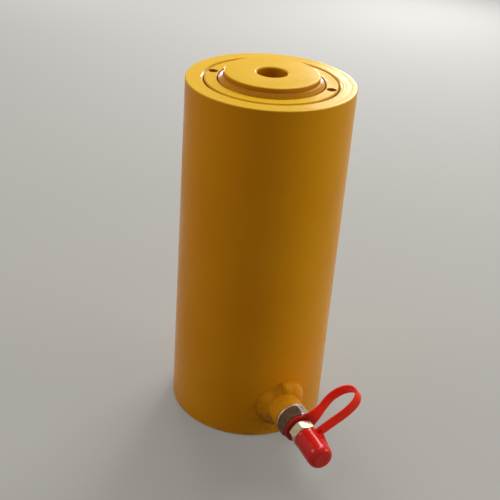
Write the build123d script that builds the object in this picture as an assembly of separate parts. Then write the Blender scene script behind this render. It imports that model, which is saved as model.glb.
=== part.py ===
"""Single-acting, spring return hydraulic cylinder: 50 tonne class, 159 mm stroke.

Lengths are in millimetres. The origin is the centre of the cylinder's foot, +Z is the way the
plunger extends, and the oil port points along -Y.
"""

import math
import os

from build123d import *

# Clearances
RUNNING_CLEARANCE = 0.05
BODY_GAP = 0.3

# Barrel
BORE_RADIUS = 47.6
BARREL_WALL = 15.9
FLOOR_THICKNESS = 28.0
BARREL_TOP_CHAMFER = 0.5
BARREL_FOOT_CHAMFER = 1.5
MOUTH_STEP = 2.4
MOUTH_CHAMFER = 2.0
STROKE = 159.0

# Threaded holes in the foot
MOUNT_HOLE_RADIUS = 5.1
MOUNT_HOLE_DEPTH = 19.0
MOUNT_HOLE_COUNT = 4
MOUNT_HOLE_START_DEG = 45.0

# Gland nut, wiper and guide ring
GLAND_LENGTH = 44.7
GLAND_TOP_CHAMFER = 1.3
GLAND_BORE_CHAMFER = 0.8
SPANNER_HOLE_INSET = 5.0
SPANNER_HOLE_RADIUS = 3.65
SPANNER_HOLE_DEPTH = 8.0
SPANNER_HOLE_DEG = -40.4
WIPER_DEPTH = 7.0
WIPER_HEIGHT = 5.0
WIPER_THICKNESS = 3.8
WIPER_LIP_CHAMFER = 1.6
GUIDE_SETBACK = 6.0
GUIDE_HEIGHT = 15.0
GUIDE_THICKNESS = 2.5

# Plunger
PLUNGER_STEP = 7.9
PLUNGER_SETBACK = 2.5
PLUNGER_EDGE_CHAMFER = 2.2
PLUNGER_TAIL_STEP = 5.7
PLUNGER_TAIL_WALL = 8.0
PLUNGER_CROWN_THICKNESS = 8.0
PLUNGER_THREAD_RADIUS = 11.1
PLUNGER_THREAD_DEPTH = 22.0

# Piston, its lock nut and its seals
PISTON_HEIGHT = 40.0
PISTON_NOSE_CHAMFER = 2.0
LOCK_NUT_HEIGHT = 9.2
LOCK_NUT_WALL = 6.0
LOCK_NUT_SLOTS = 4
LOCK_NUT_SLOT_WIDTH = 8.0
LOCK_NUT_SLOT_DEPTH = 3.0
TAIL_PROTRUSION = 0.5
SEAL_SETBACK = 6.0
SEAL_HEIGHT = 9.0
SEAL_THICKNESS = 6.1
SEAL_LIP_DEPTH = 3.0
BACKUP_HEIGHT = 3.0
WEAR_SETBACK = 6.0
WEAR_HEIGHT = 10.0
WEAR_THICKNESS = 3.0
STATIC_RING_SECTION = 3.0
STATIC_RING_SQUEEZE = 0.4

# Return spring and its two screwed anchors
SPRING_WALL_GAP = 1.75
SPRING_WIRE_RADIUS = 3.25
SPRING_TURNS = 20
SPRING_RUNS_PER_TURN = 12
ANCHOR_SPIGOT_LENGTH = 18.0
ANCHOR_SPIGOT_CHAMFER = 2.0
LOWER_ANCHOR_FLANGE_GAP = 4.0
LOWER_ANCHOR_FLANGE_THICKNESS = 8.0
LOWER_ANCHOR_STUD_RADIUS = 8.0
LOWER_ANCHOR_STUD_LENGTH = 14.0
UPPER_ANCHOR_FLANGE_THICKNESS = 10.0
ANCHOR_KEY_RADIUS = 5.0
ANCHOR_KEY_DEPTH = 9.0

# Saddle and the ring that keeps it in the plunger
SADDLE_INSET = 4.0
SADDLE_THICKNESS = 8.6
SADDLE_EDGE_CHAMFER = 0.7
SADDLE_HOLE_RADIUS = 11.35
SADDLE_HOLE_CHAMFER = 1.0
SADDLE_SPIGOT_RADIUS = 16.0
SADDLE_SPIGOT_LENGTH = 9.0
SADDLE_RING_DEPTH = 4.0
SADDLE_RING_WIDTH = 2.0
SADDLE_RING_BITE = 1.4
SNAP_RING_GAP_DEG = 24.0

# Oil port
PORT_HEIGHT = 32.0
OIL_PASSAGE_RADIUS = 3.0
BOSS_RADIUS = 13.3
BOSS_LENGTH = 20.0
BOSS_RIM_CHAMFER = 0.8
BOSS_SPIGOT_RADIUS = 10.5
BOSS_SPIGOT_DEPTH = 6.0
PORT_THREAD_RADIUS = 8.6
PORT_THREAD_LENGTH = 13.5
WELD_LEG = 6.2
WELD_CHAMFER_SHARE = 0.8
WASHER_RADIUS = 12.4
WASHER_THICKNESS = 1.0

# Adapter and coupler
ADAPTER_ACROSS_FLATS = 24.0
ADAPTER_HEX_LENGTH = 11.2
COUPLER_THREAD_RADIUS = 7.4
COUPLER_THREAD_LENGTH = 9.0
COUPLER_SEAL_THICKNESS = 1.4
NECK_RADIUS = 8.0
COUPLER_ACROSS_FLATS = 18.3
COUPLER_HEX_LENGTH = 8.7
HEX_CORNER_SLOPE = 0.87
ADAPTER_HEX_DEG = 22.0
COUPLER_HEX_DEG = -9.0
NOSE_RADIUS = 8.0
NOSE_LENGTH = 22.3
NOSE_CHAMFER = 1.2
NOSE_GROOVE_DEPTH = 0.9
NOSE_GROOVE_WIDTH = 3.0
NOSE_GROOVE_SETBACK = 5.0

# Check valve inside the coupler
CHAMBER_RADIUS = 5.2
SEAT_RADIUS = 3.2
SEAT_SETBACK = 8.0
SEAT_CONE_LENGTH = 2.0
PROBE_SOCKET_RADIUS = 5.5
PROBE_SOCKET_DEPTH = 4.5
POPPET_HEAD_RADIUS = 4.6
POPPET_HEAD_LENGTH = 6.0
POPPET_NOSE_RADIUS = 1.8
POPPET_NOSE_LENGTH = 4.0
POPPET_STEM_RADIUS = 1.5
POPPET_STEM_LENGTH = 16.0
POPPET_SEAL_SECTION = 1.2
POPPET_SEAL_SETBACK = 0.5
POPPET_SEAL_PROUD = 0.1
VALVE_GAP = 0.15
VALVE_SPRING_RADIUS = 3.4
VALVE_SPRING_WIRE = 0.45
VALVE_SPRING_TURNS = 5
POPPET_GUIDE_THICKNESS = 2.0
POPPET_GUIDE_HOLES = 3
POPPET_GUIDE_HOLE_RADIUS = 1.0
CLIP_THICKNESS = 1.0
CLIP_BITE = 0.5

# Dust cap, its ring and its strap
CAP_RING_RADIUS = 12.2
CAP_RING_THICKNESS = 2.5
CAP_RING_PLAY = 1.0
CAP_TAB_REACH = 15.0
CAP_TAB_ROOT_WIDTH = 22.0
STRAP_ANGLE_DEG = 35.0
STRAP_WIDTH = 9.2
STRAP_THICKNESS = 2.0
STRAP_REACH = 54.3
STRAP_BACK_SWING = 4.7
STRAP_CORNER_SHARE = 0.45
# Corners of the strap's loop: shares of its reach, then of its back swing on the way out
# and of its thickness on the way home
STRAP_OUT_RUN = [(0.46, 0.48), (0.6, 1.0), (0.755, 0.95), (0.913, 0.15)]
STRAP_HOME_RUN = [(0.9, 0.1), (0.685, 1.05), (0.444, 0.55)]
CAP_BASE_RADIUS = 9.7
CAP_END_RADIUS = 10.1
CAP_END_THICKNESS = 2.5
CAP_END_FILLET = 5.0
CAP_END_SPACE = 3.4
CAP_SEAT_GAP = 0.5
CAP_LUG_REACH = 14.0
CAP_LUG_SETBACK = 2.5
CAP_RIB_LENGTH = 9.0
CAP_RIB_WIDTH = 2.6

# Radii, worked out from the bore outwards and inwards
BARREL_RADIUS = BORE_RADIUS + BARREL_WALL
MOUTH_RADIUS = BORE_RADIUS + MOUTH_STEP
MOUNT_CIRCLE_RADIUS = BORE_RADIUS
SPANNER_CIRCLE_RADIUS = MOUTH_RADIUS - SPANNER_HOLE_INSET
PLUNGER_RADIUS = BORE_RADIUS - PLUNGER_STEP
PLUNGER_TAIL_RADIUS = PLUNGER_RADIUS - PLUNGER_TAIL_STEP
PLUNGER_BORE_RADIUS = PLUNGER_TAIL_RADIUS - PLUNGER_TAIL_WALL
SADDLE_RADIUS = PLUNGER_RADIUS - SADDLE_INSET
LOCK_NUT_RADIUS = PLUNGER_TAIL_RADIUS + LOCK_NUT_WALL
LOWER_ANCHOR_FLANGE_RADIUS = PLUNGER_BORE_RADIUS - LOWER_ANCHOR_FLANGE_GAP
SPRING_COIL_RADIUS = PLUNGER_BORE_RADIUS - SPRING_WALL_GAP - SPRING_WIRE_RADIUS

# Levels along the plunger's axis, worked out from the sizes above
TAIL_BOTTOM_Z = FLOOR_THICKNESS + BODY_GAP
LOCK_NUT_BOTTOM_Z = TAIL_BOTTOM_Z + TAIL_PROTRUSION
PISTON_BOTTOM_Z = LOCK_NUT_BOTTOM_Z + LOCK_NUT_HEIGHT
PISTON_TOP_Z = PISTON_BOTTOM_Z + PISTON_HEIGHT
GLAND_BOTTOM_Z = PISTON_TOP_Z + STROKE + BODY_GAP
BARREL_HEIGHT = GLAND_BOTTOM_Z + GLAND_LENGTH
PLUNGER_TOP_Z = BARREL_HEIGHT - PLUNGER_SETBACK
SADDLE_TOP_Z = PLUNGER_TOP_Z + SADDLE_THICKNESS
THREAD_TOP_Z = PLUNGER_TOP_Z - SADDLE_SPIGOT_LENGTH
CAVITY_TOP_Z = THREAD_TOP_Z - PLUNGER_THREAD_DEPTH - PLUNGER_CROWN_THICKNESS
WIPER_TOP_Z = BARREL_HEIGHT - WIPER_DEPTH
GUIDE_BOTTOM_Z = GLAND_BOTTOM_Z + GUIDE_SETBACK
SEAL_BOTTOM_Z = PISTON_BOTTOM_Z + SEAL_SETBACK
BACKUP_BOTTOM_Z = SEAL_BOTTOM_Z + SEAL_HEIGHT
WEAR_BOTTOM_Z = BACKUP_BOTTOM_Z + BACKUP_HEIGHT + WEAR_SETBACK
STATIC_RING_Z = (PISTON_BOTTOM_Z + PISTON_TOP_Z) / 2
LOWER_FLANGE_TOP_Z = FLOOR_THICKNESS + LOWER_ANCHOR_FLANGE_THICKNESS
UPPER_FLANGE_BOTTOM_Z = CAVITY_TOP_Z - UPPER_ANCHOR_FLANGE_THICKNESS
SADDLE_RING_TOP_Z = PLUNGER_TOP_Z - SADDLE_RING_DEPTH

# Radii of sliding surfaces
GLAND_METAL_RADIUS = PLUNGER_RADIUS + BODY_GAP
GUIDE_INNER_RADIUS = PLUNGER_RADIUS + RUNNING_CLEARANCE
PISTON_METAL_RADIUS = BORE_RADIUS - BODY_GAP
SEAL_OUTER_RADIUS = BORE_RADIUS - RUNNING_CLEARANCE
SPRING_INNER_RADIUS = (
    SPRING_COIL_RADIUS * math.cos(math.pi / SPRING_RUNS_PER_TURN) - SPRING_WIRE_RADIUS
)
ANCHOR_SPIGOT_RADIUS = SPRING_INNER_RADIUS - BODY_GAP

# Stations along the port, as distances from the plunger's axis
BOSS_ROOT = BARREL_RADIUS - BOSS_SPIGOT_DEPTH
BOSS_END = BARREL_RADIUS + BOSS_LENGTH
ADAPTER_START = BOSS_END + WASHER_THICKNESS
ADAPTER_END = ADAPTER_START + ADAPTER_HEX_LENGTH
NECK_LENGTH = CAP_RING_THICKNESS + CAP_RING_PLAY + 2 * BODY_GAP
COUPLER_HEX_START = ADAPTER_END + NECK_LENGTH
COUPLER_HEX_END = COUPLER_HEX_START + COUPLER_HEX_LENGTH
NOSE_END = COUPLER_HEX_END + NOSE_LENGTH
COUPLER_START = ADAPTER_END - COUPLER_THREAD_LENGTH
COUPLER_SOCKET_FLOOR = COUPLER_START - COUPLER_SEAL_THICKNESS
PORT_THREAD_START = ADAPTER_START - PORT_THREAD_LENGTH
SEAT_START = NOSE_END - SEAT_SETBACK
CHAMBER_END = SEAT_START - SEAT_CONE_LENGTH
POPPET_START = CHAMBER_END - POPPET_HEAD_LENGTH
GUIDE_PLATE_START = POPPET_START - POPPET_STEM_LENGTH
GUIDE_PLATE_END = GUIDE_PLATE_START + POPPET_GUIDE_THICKNESS
CLIP_START = GUIDE_PLATE_START - CLIP_THICKNESS
CAP_START = COUPLER_HEX_END + CAP_SEAT_GAP
CAP_CAVITY_END = NOSE_END + CAP_END_SPACE
CAP_END = CAP_CAVITY_END + CAP_END_THICKNESS
CAP_RING_START = ADAPTER_END + BODY_GAP
CAP_RING_MIDDLE = CAP_RING_START + CAP_RING_THICKNESS / 2
CAP_LUG_STATION = CAP_START + CAP_LUG_SETBACK + STRAP_THICKNESS / 2

# The port's own frame: local +Z runs outwards along it, local +Y is up
PORT_FRAME = Plane(origin=(0, 0, PORT_HEIGHT), x_dir=(1, 0, 0), z_dir=(0, -1, 0))


def turned(points):
    """A solid of revolution about local +Z from a closed (radius, height) outline."""
    outline = make_face(Plane.XZ * Polyline(*points, close=True))
    return revolve(outline, axis=Axis.Z)


def tube(inner, outer, bottom, top):
    """A plain ring between two radii and two levels."""
    return turned([(inner, bottom), (outer, bottom), (outer, top), (inner, top)])


def disc(radius, bottom, top):
    """A plain round bar between two levels."""
    return Pos(0, 0, bottom) * extrude(Circle(radius), top - bottom)


def on_port(solid):
    """Places a solid that was modelled along the port into the cylinder's frame."""
    return PORT_FRAME.location * solid


def at_strap_angle(solid):
    """As on_port, turned so that local +X runs out along the strap."""
    return on_port(Rot(0, 0, STRAP_ANGLE_DEG) * solid)


def open_ring(inner, outer, bottom, top):
    """A snap ring: a plain ring with a gap."""
    outline = Polyline((inner, bottom), (outer, bottom), (outer, top), (inner, top), close=True)
    section = make_face(Plane.XZ * outline)
    return revolve(section, axis=Axis.Z, revolution_arc=360 - SNAP_RING_GAP_DEG)


def hexagon_bar(across_flats, turn_deg, bottom, top):
    """A hexagon bar whose corners are turned down by a cone at both ends."""
    flat_radius = across_flats / 2
    corner_radius = flat_radius / math.cos(math.pi / 6)
    drop = (corner_radius - flat_radius) * HEX_CORNER_SLOPE
    hexagon = RegularPolygon(corner_radius, 6, rotation=turn_deg)
    prism = Pos(0, 0, bottom) * extrude(hexagon, top - bottom)
    barrel_shape = turned(
        [
            (0, bottom),
            (flat_radius, bottom),
            (corner_radius, bottom + drop),
            (corner_radius, top - drop),
            (flat_radius, top),
            (0, top),
        ]
    )
    return prism & barrel_shape


def wound_wire(coil_radius, wire_radius, turns, start, end, sides=6):
    """A coil spring of short straight runs, which keeps its facets few."""
    count = round(turns * SPRING_RUNS_PER_TURN)
    points = [
        (
            coil_radius * math.cos(2 * math.pi * i / SPRING_RUNS_PER_TURN),
            coil_radius * math.sin(2 * math.pi * i / SPRING_RUNS_PER_TURN),
            start + (end - start) * i / count,
        )
        for i in range(count + 1)
    ]
    path = Polyline(*points)
    section = Plane(origin=points[0], z_dir=path % 0) * RegularPolygon(wire_radius, sides)
    return sweep(section, path=path, transition=Transition.RIGHT)


def cylinder_barrel():
    """Closed-bottom barrel: bore, threaded mouth, oil passage and four foot holes."""
    barrel = turned(
        [
            (0, 0),
            (BARREL_RADIUS - BARREL_FOOT_CHAMFER, 0),
            (BARREL_RADIUS, BARREL_FOOT_CHAMFER),
            (BARREL_RADIUS, BARREL_HEIGHT - BARREL_TOP_CHAMFER),
            (BARREL_RADIUS - BARREL_TOP_CHAMFER, BARREL_HEIGHT),
            (MOUTH_RADIUS + MOUTH_CHAMFER, BARREL_HEIGHT),
            (MOUTH_RADIUS, BARREL_HEIGHT - MOUTH_CHAMFER),
            (MOUTH_RADIUS, GLAND_BOTTOM_Z),
            (BORE_RADIUS, GLAND_BOTTOM_Z),
            (BORE_RADIUS, FLOOR_THICKNESS),
            (0, FLOOR_THICKNESS),
        ]
    )
    barrel -= disc(
        LOWER_ANCHOR_STUD_RADIUS, FLOOR_THICKNESS - LOWER_ANCHOR_STUD_LENGTH, FLOOR_THICKNESS
    )
    barrel -= PolarLocations(
        MOUNT_CIRCLE_RADIUS, MOUNT_HOLE_COUNT, start_angle=MOUNT_HOLE_START_DEG
    ) * disc(MOUNT_HOLE_RADIUS, 0, MOUNT_HOLE_DEPTH)
    barrel -= on_port(disc(BOSS_SPIGOT_RADIUS, BOSS_ROOT, BOSS_END))
    return barrel - on_port(disc(OIL_PASSAGE_RADIUS, BORE_RADIUS / 2, BOSS_END))


def gland_nut():
    """Screwed gland with a wiper groove, a guide ring groove and two spanner holes."""
    wiper_outer = GUIDE_INNER_RADIUS + WIPER_THICKNESS
    guide_outer = GUIDE_INNER_RADIUS + GUIDE_THICKNESS
    gland = turned(
        [
            (GLAND_METAL_RADIUS, GLAND_BOTTOM_Z),
            (MOUTH_RADIUS, GLAND_BOTTOM_Z),
            (MOUTH_RADIUS, BARREL_HEIGHT - GLAND_TOP_CHAMFER),
            (MOUTH_RADIUS - GLAND_TOP_CHAMFER, BARREL_HEIGHT),
            (GLAND_METAL_RADIUS + GLAND_BORE_CHAMFER, BARREL_HEIGHT),
            (GLAND_METAL_RADIUS, BARREL_HEIGHT - GLAND_BORE_CHAMFER),
        ]
    )
    gland -= tube(0, wiper_outer, WIPER_TOP_Z - WIPER_HEIGHT, WIPER_TOP_Z)
    gland -= tube(0, guide_outer, GUIDE_BOTTOM_Z, GUIDE_BOTTOM_Z + GUIDE_HEIGHT)
    spanner_hole = disc(
        SPANNER_HOLE_RADIUS, BARREL_HEIGHT - SPANNER_HOLE_DEPTH, BARREL_HEIGHT
    )
    return gland - PolarLocations(
        SPANNER_CIRCLE_RADIUS, 2, start_angle=SPANNER_HOLE_DEG
    ) * spanner_hole


def rod_wiper():
    """Scraper ring whose lip leans on the plunger just under the gland's face."""
    outer = GUIDE_INNER_RADIUS + WIPER_THICKNESS
    bottom = WIPER_TOP_Z - WIPER_HEIGHT
    return turned(
        [
            (GUIDE_INNER_RADIUS + WIPER_LIP_CHAMFER, bottom),
            (outer, bottom),
            (outer, WIPER_TOP_Z),
            (GUIDE_INNER_RADIUS + WIPER_LIP_CHAMFER, WIPER_TOP_Z),
            (GUIDE_INNER_RADIUS, WIPER_TOP_Z - WIPER_LIP_CHAMFER),
            (GUIDE_INNER_RADIUS, bottom + WIPER_LIP_CHAMFER),
        ]
    )


def gland_guide_ring():
    """Bearing ring that guides the plunger in the gland."""
    outer = GUIDE_INNER_RADIUS + GUIDE_THICKNESS
    return tube(GUIDE_INNER_RADIUS, outer, GUIDE_BOTTOM_Z, GUIDE_BOTTOM_Z + GUIDE_HEIGHT)


def lower_spring_anchor():
    """Plug screwed into the floor, on whose spigot the spring's lowest coils are wound."""
    spigot_top = LOWER_FLANGE_TOP_Z + ANCHOR_SPIGOT_LENGTH
    plug = turned(
        [
            (0, FLOOR_THICKNESS - LOWER_ANCHOR_STUD_LENGTH),
            (LOWER_ANCHOR_STUD_RADIUS, FLOOR_THICKNESS - LOWER_ANCHOR_STUD_LENGTH),
            (LOWER_ANCHOR_STUD_RADIUS, FLOOR_THICKNESS),
            (LOWER_ANCHOR_FLANGE_RADIUS, FLOOR_THICKNESS),
            (LOWER_ANCHOR_FLANGE_RADIUS, LOWER_FLANGE_TOP_Z),
            (ANCHOR_SPIGOT_RADIUS, LOWER_FLANGE_TOP_Z),
            (ANCHOR_SPIGOT_RADIUS, spigot_top - ANCHOR_SPIGOT_CHAMFER),
            (ANCHOR_SPIGOT_RADIUS - ANCHOR_SPIGOT_CHAMFER, spigot_top),
            (0, spigot_top),
        ]
    )
    key = Pos(0, 0, spigot_top - ANCHOR_KEY_DEPTH) * extrude(
        RegularPolygon(ANCHOR_KEY_RADIUS, 6), ANCHOR_KEY_DEPTH
    )
    return plug - key


def upper_spring_anchor():
    """Plug screwed up the plunger's bore, which holds the spring's highest coils."""
    spigot_bottom = UPPER_FLANGE_BOTTOM_Z - ANCHOR_SPIGOT_LENGTH
    plug = turned(
        [
            (0, spigot_bottom),
            (ANCHOR_SPIGOT_RADIUS - ANCHOR_SPIGOT_CHAMFER, spigot_bottom),
            (ANCHOR_SPIGOT_RADIUS, spigot_bottom + ANCHOR_SPIGOT_CHAMFER),
            (ANCHOR_SPIGOT_RADIUS, UPPER_FLANGE_BOTTOM_Z),
            (PLUNGER_BORE_RADIUS, UPPER_FLANGE_BOTTOM_Z),
            (PLUNGER_BORE_RADIUS, CAVITY_TOP_Z),
            (0, CAVITY_TOP_Z),
        ]
    )
    key = Pos(0, 0, spigot_bottom) * extrude(
        RegularPolygon(ANCHOR_KEY_RADIUS, 6), ANCHOR_KEY_DEPTH
    )
    return plug - key


def return_spring():
    """Tension spring between the two anchors, inside the hollow plunger."""
    start = LOWER_FLANGE_TOP_Z + SPRING_WIRE_RADIUS + BODY_GAP
    end = UPPER_FLANGE_BOTTOM_Z - SPRING_WIRE_RADIUS - BODY_GAP
    return wound_wire(SPRING_COIL_RADIUS, SPRING_WIRE_RADIUS, SPRING_TURNS, start, end)


def plunger():
    """Hollow plunger: spring cavity, piston seat, jacking thread and saddle socket."""
    body = turned(
        [
            (PLUNGER_BORE_RADIUS, TAIL_BOTTOM_Z),
            (PLUNGER_TAIL_RADIUS, TAIL_BOTTOM_Z),
            (PLUNGER_TAIL_RADIUS, PISTON_TOP_Z),
            (PLUNGER_RADIUS, PISTON_TOP_Z),
            (PLUNGER_RADIUS, PLUNGER_TOP_Z - PLUNGER_EDGE_CHAMFER),
            (PLUNGER_RADIUS - PLUNGER_EDGE_CHAMFER, PLUNGER_TOP_Z),
            (SADDLE_SPIGOT_RADIUS, PLUNGER_TOP_Z),
            (SADDLE_SPIGOT_RADIUS, THREAD_TOP_Z),
            (PLUNGER_THREAD_RADIUS, THREAD_TOP_Z),
            (PLUNGER_THREAD_RADIUS, THREAD_TOP_Z - PLUNGER_THREAD_DEPTH),
            (0, THREAD_TOP_Z - PLUNGER_THREAD_DEPTH),
            (0, CAVITY_TOP_Z),
            (PLUNGER_BORE_RADIUS, CAVITY_TOP_Z),
        ]
    )
    body -= tube(
        0,
        SADDLE_SPIGOT_RADIUS + SADDLE_RING_BITE,
        SADDLE_RING_TOP_Z - SADDLE_RING_WIDTH,
        SADDLE_RING_TOP_Z,
    )
    groove_half = (STATIC_RING_SECTION + STATIC_RING_SQUEEZE) / 2
    groove_floor = PLUNGER_TAIL_RADIUS - STATIC_RING_SECTION + STATIC_RING_SQUEEZE
    return body - tube(
        groove_floor,
        PLUNGER_TAIL_RADIUS,
        STATIC_RING_Z - groove_half,
        STATIC_RING_Z + groove_half,
    )


def piston():
    """Piston ring that seats against the plunger's shoulder, grooved for its seals."""
    ring = turned(
        [
            (PLUNGER_TAIL_RADIUS, PISTON_BOTTOM_Z),
            (PISTON_METAL_RADIUS - PISTON_NOSE_CHAMFER, PISTON_BOTTOM_Z),
            (PISTON_METAL_RADIUS, PISTON_BOTTOM_Z + PISTON_NOSE_CHAMFER),
            (PISTON_METAL_RADIUS, PISTON_TOP_Z),
            (PLUNGER_TAIL_RADIUS, PISTON_TOP_Z),
        ]
    )
    ring -= tube(
        SEAL_OUTER_RADIUS - SEAL_THICKNESS,
        BORE_RADIUS,
        SEAL_BOTTOM_Z,
        BACKUP_BOTTOM_Z + BACKUP_HEIGHT,
    )
    return ring - tube(
        SEAL_OUTER_RADIUS - WEAR_THICKNESS,
        BORE_RADIUS,
        WEAR_BOTTOM_Z,
        WEAR_BOTTOM_Z + WEAR_HEIGHT,
    )


def piston_lock_nut():
    """Slotted nut on the plunger's tail that clamps the piston against its shoulder."""
    nut = tube(PLUNGER_TAIL_RADIUS, LOCK_NUT_RADIUS, LOCK_NUT_BOTTOM_Z, PISTON_BOTTOM_Z)
    slot = Pos(LOCK_NUT_RADIUS, 0, LOCK_NUT_BOTTOM_Z + LOCK_NUT_HEIGHT / 2) * Box(
        2 * LOCK_NUT_SLOT_DEPTH, LOCK_NUT_SLOT_WIDTH, LOCK_NUT_HEIGHT
    )
    return nut - PolarLocations(0, LOCK_NUT_SLOTS) * slot


def piston_static_seal():
    """O-ring between the piston's bore and the plunger's tail."""
    inner = PLUNGER_TAIL_RADIUS - STATIC_RING_SECTION + STATIC_RING_SQUEEZE
    half = STATIC_RING_SECTION / 2
    return tube(inner, PLUNGER_TAIL_RADIUS, STATIC_RING_Z - half, STATIC_RING_Z + half)


def piston_cup_seal():
    """U-shaped pressure seal, its lips open towards the oil."""
    inner = SEAL_OUTER_RADIUS - SEAL_THICKNESS
    middle = SEAL_OUTER_RADIUS - SEAL_THICKNESS / 2
    lip = SEAL_THICKNESS / 4
    return turned(
        [
            (inner, SEAL_BOTTOM_Z),
            (middle - lip, SEAL_BOTTOM_Z),
            (middle, SEAL_BOTTOM_Z + SEAL_LIP_DEPTH),
            (middle + lip, SEAL_BOTTOM_Z),
            (SEAL_OUTER_RADIUS, SEAL_BOTTOM_Z),
            (SEAL_OUTER_RADIUS, BACKUP_BOTTOM_Z),
            (inner, BACKUP_BOTTOM_Z),
        ]
    )


def piston_backup_ring():
    """Stiff ring that keeps the cup seal out of the piston's running gap."""
    top = BACKUP_BOTTOM_Z + BACKUP_HEIGHT
    return tube(SEAL_OUTER_RADIUS - SEAL_THICKNESS, SEAL_OUTER_RADIUS, BACKUP_BOTTOM_Z, top)


def piston_wear_ring():
    """Bearing ring that guides the piston in the bore."""
    top = WEAR_BOTTOM_Z + WEAR_HEIGHT
    return tube(SEAL_OUTER_RADIUS - WEAR_THICKNESS, SEAL_OUTER_RADIUS, WEAR_BOTTOM_Z, top)


def saddle():
    """Load saddle with a grooved spigot and a hole through to the plunger's thread."""
    spigot_bottom = PLUNGER_TOP_Z - SADDLE_SPIGOT_LENGTH
    plate = turned(
        [
            (SADDLE_HOLE_RADIUS, spigot_bottom),
            (SADDLE_SPIGOT_RADIUS, spigot_bottom),
            (SADDLE_SPIGOT_RADIUS, PLUNGER_TOP_Z),
            (SADDLE_RADIUS, PLUNGER_TOP_Z),
            (SADDLE_RADIUS, SADDLE_TOP_Z - SADDLE_EDGE_CHAMFER),
            (SADDLE_RADIUS - SADDLE_EDGE_CHAMFER, SADDLE_TOP_Z),
            (SADDLE_HOLE_RADIUS + SADDLE_HOLE_CHAMFER, SADDLE_TOP_Z),
            (SADDLE_HOLE_RADIUS, SADDLE_TOP_Z - SADDLE_HOLE_CHAMFER),
        ]
    )
    return plate - tube(
        SADDLE_SPIGOT_RADIUS - SADDLE_RING_BITE,
        SADDLE_SPIGOT_RADIUS,
        SADDLE_RING_TOP_Z - SADDLE_RING_WIDTH,
        SADDLE_RING_TOP_Z,
    )


def saddle_retaining_ring():
    """Open snap ring shared by the saddle's groove and the plunger's."""
    inner = SADDLE_SPIGOT_RADIUS - SADDLE_RING_BITE
    outer = SADDLE_SPIGOT_RADIUS + SADDLE_RING_BITE
    bottom = SADDLE_RING_TOP_Z - SADDLE_RING_WIDTH
    return open_ring(inner, outer, bottom, SADDLE_RING_TOP_Z)


def is_weld_crest(edge, toe_radius):
    """Whether an edge lies on both outer surfaces of the weld's collar."""
    point = edge @ 0.5
    from_port_axis = math.hypot(point.X, point.Z - PORT_HEIGHT)
    from_barrel_axis = math.hypot(point.X, point.Y)
    return (
        abs(from_port_axis - toe_radius) < RUNNING_CLEARANCE
        and abs(from_barrel_axis - BARREL_RADIUS - WELD_LEG) < RUNNING_CLEARANCE
    )


def port_boss():
    """Weld-on boss: spigot in the barrel wall, socket thread at its outer end."""
    rim = BOSS_RADIUS - BOSS_RIM_CHAMFER
    boss = turned(
        [
            (OIL_PASSAGE_RADIUS, BOSS_ROOT),
            (BOSS_SPIGOT_RADIUS, BOSS_ROOT),
            (BOSS_RADIUS, BOSS_ROOT),
            (BOSS_RADIUS, BOSS_END - BOSS_RIM_CHAMFER),
            (rim, BOSS_END),
            (PORT_THREAD_RADIUS, BOSS_END),
            (PORT_THREAD_RADIUS, PORT_THREAD_START),
            (OIL_PASSAGE_RADIUS, PORT_THREAD_START),
        ]
    )
    sleeve = on_port(tube(BOSS_SPIGOT_RADIUS, 2 * BOSS_RADIUS, BORE_RADIUS, BOSS_END))
    return on_port(boss) - (sleeve & disc(BARREL_RADIUS, 0, BARREL_HEIGHT))


def weld_bead():
    """Fillet weld that follows the curved joint between the boss and the barrel."""
    toe_radius = BOSS_RADIUS + WELD_LEG
    collar = on_port(tube(BOSS_RADIUS, toe_radius, BOSS_ROOT, BOSS_END))
    bead = collar & tube(BARREL_RADIUS, BARREL_RADIUS + WELD_LEG, 0, BARREL_HEIGHT)
    edges = bead.edges().filter_by(lambda edge: is_weld_crest(edge, toe_radius))
    return chamfer(edges, WELD_LEG * WELD_CHAMFER_SHARE)


def port_sealing_washer():
    """Flat sealing washer between the boss and the adapter."""
    return on_port(tube(PORT_THREAD_RADIUS, WASHER_RADIUS, BOSS_END, ADAPTER_START))


def coupler_adapter():
    """Large hexagon adapter, screwed into the boss and bored for the coupler."""
    body = hexagon_bar(ADAPTER_ACROSS_FLATS, ADAPTER_HEX_DEG, ADAPTER_START, ADAPTER_END)
    body += disc(PORT_THREAD_RADIUS, PORT_THREAD_START, ADAPTER_START)
    body -= disc(COUPLER_THREAD_RADIUS, COUPLER_SOCKET_FLOOR, ADAPTER_END)
    return on_port(body - disc(OIL_PASSAGE_RADIUS, PORT_THREAD_START, ADAPTER_END))


def coupler_seal():
    """Flat seal between the coupler's screwed end and the adapter's socket."""
    seal = tube(CHAMBER_RADIUS, COUPLER_THREAD_RADIUS, COUPLER_SOCKET_FLOOR, COUPLER_START)
    return on_port(seal)


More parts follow.
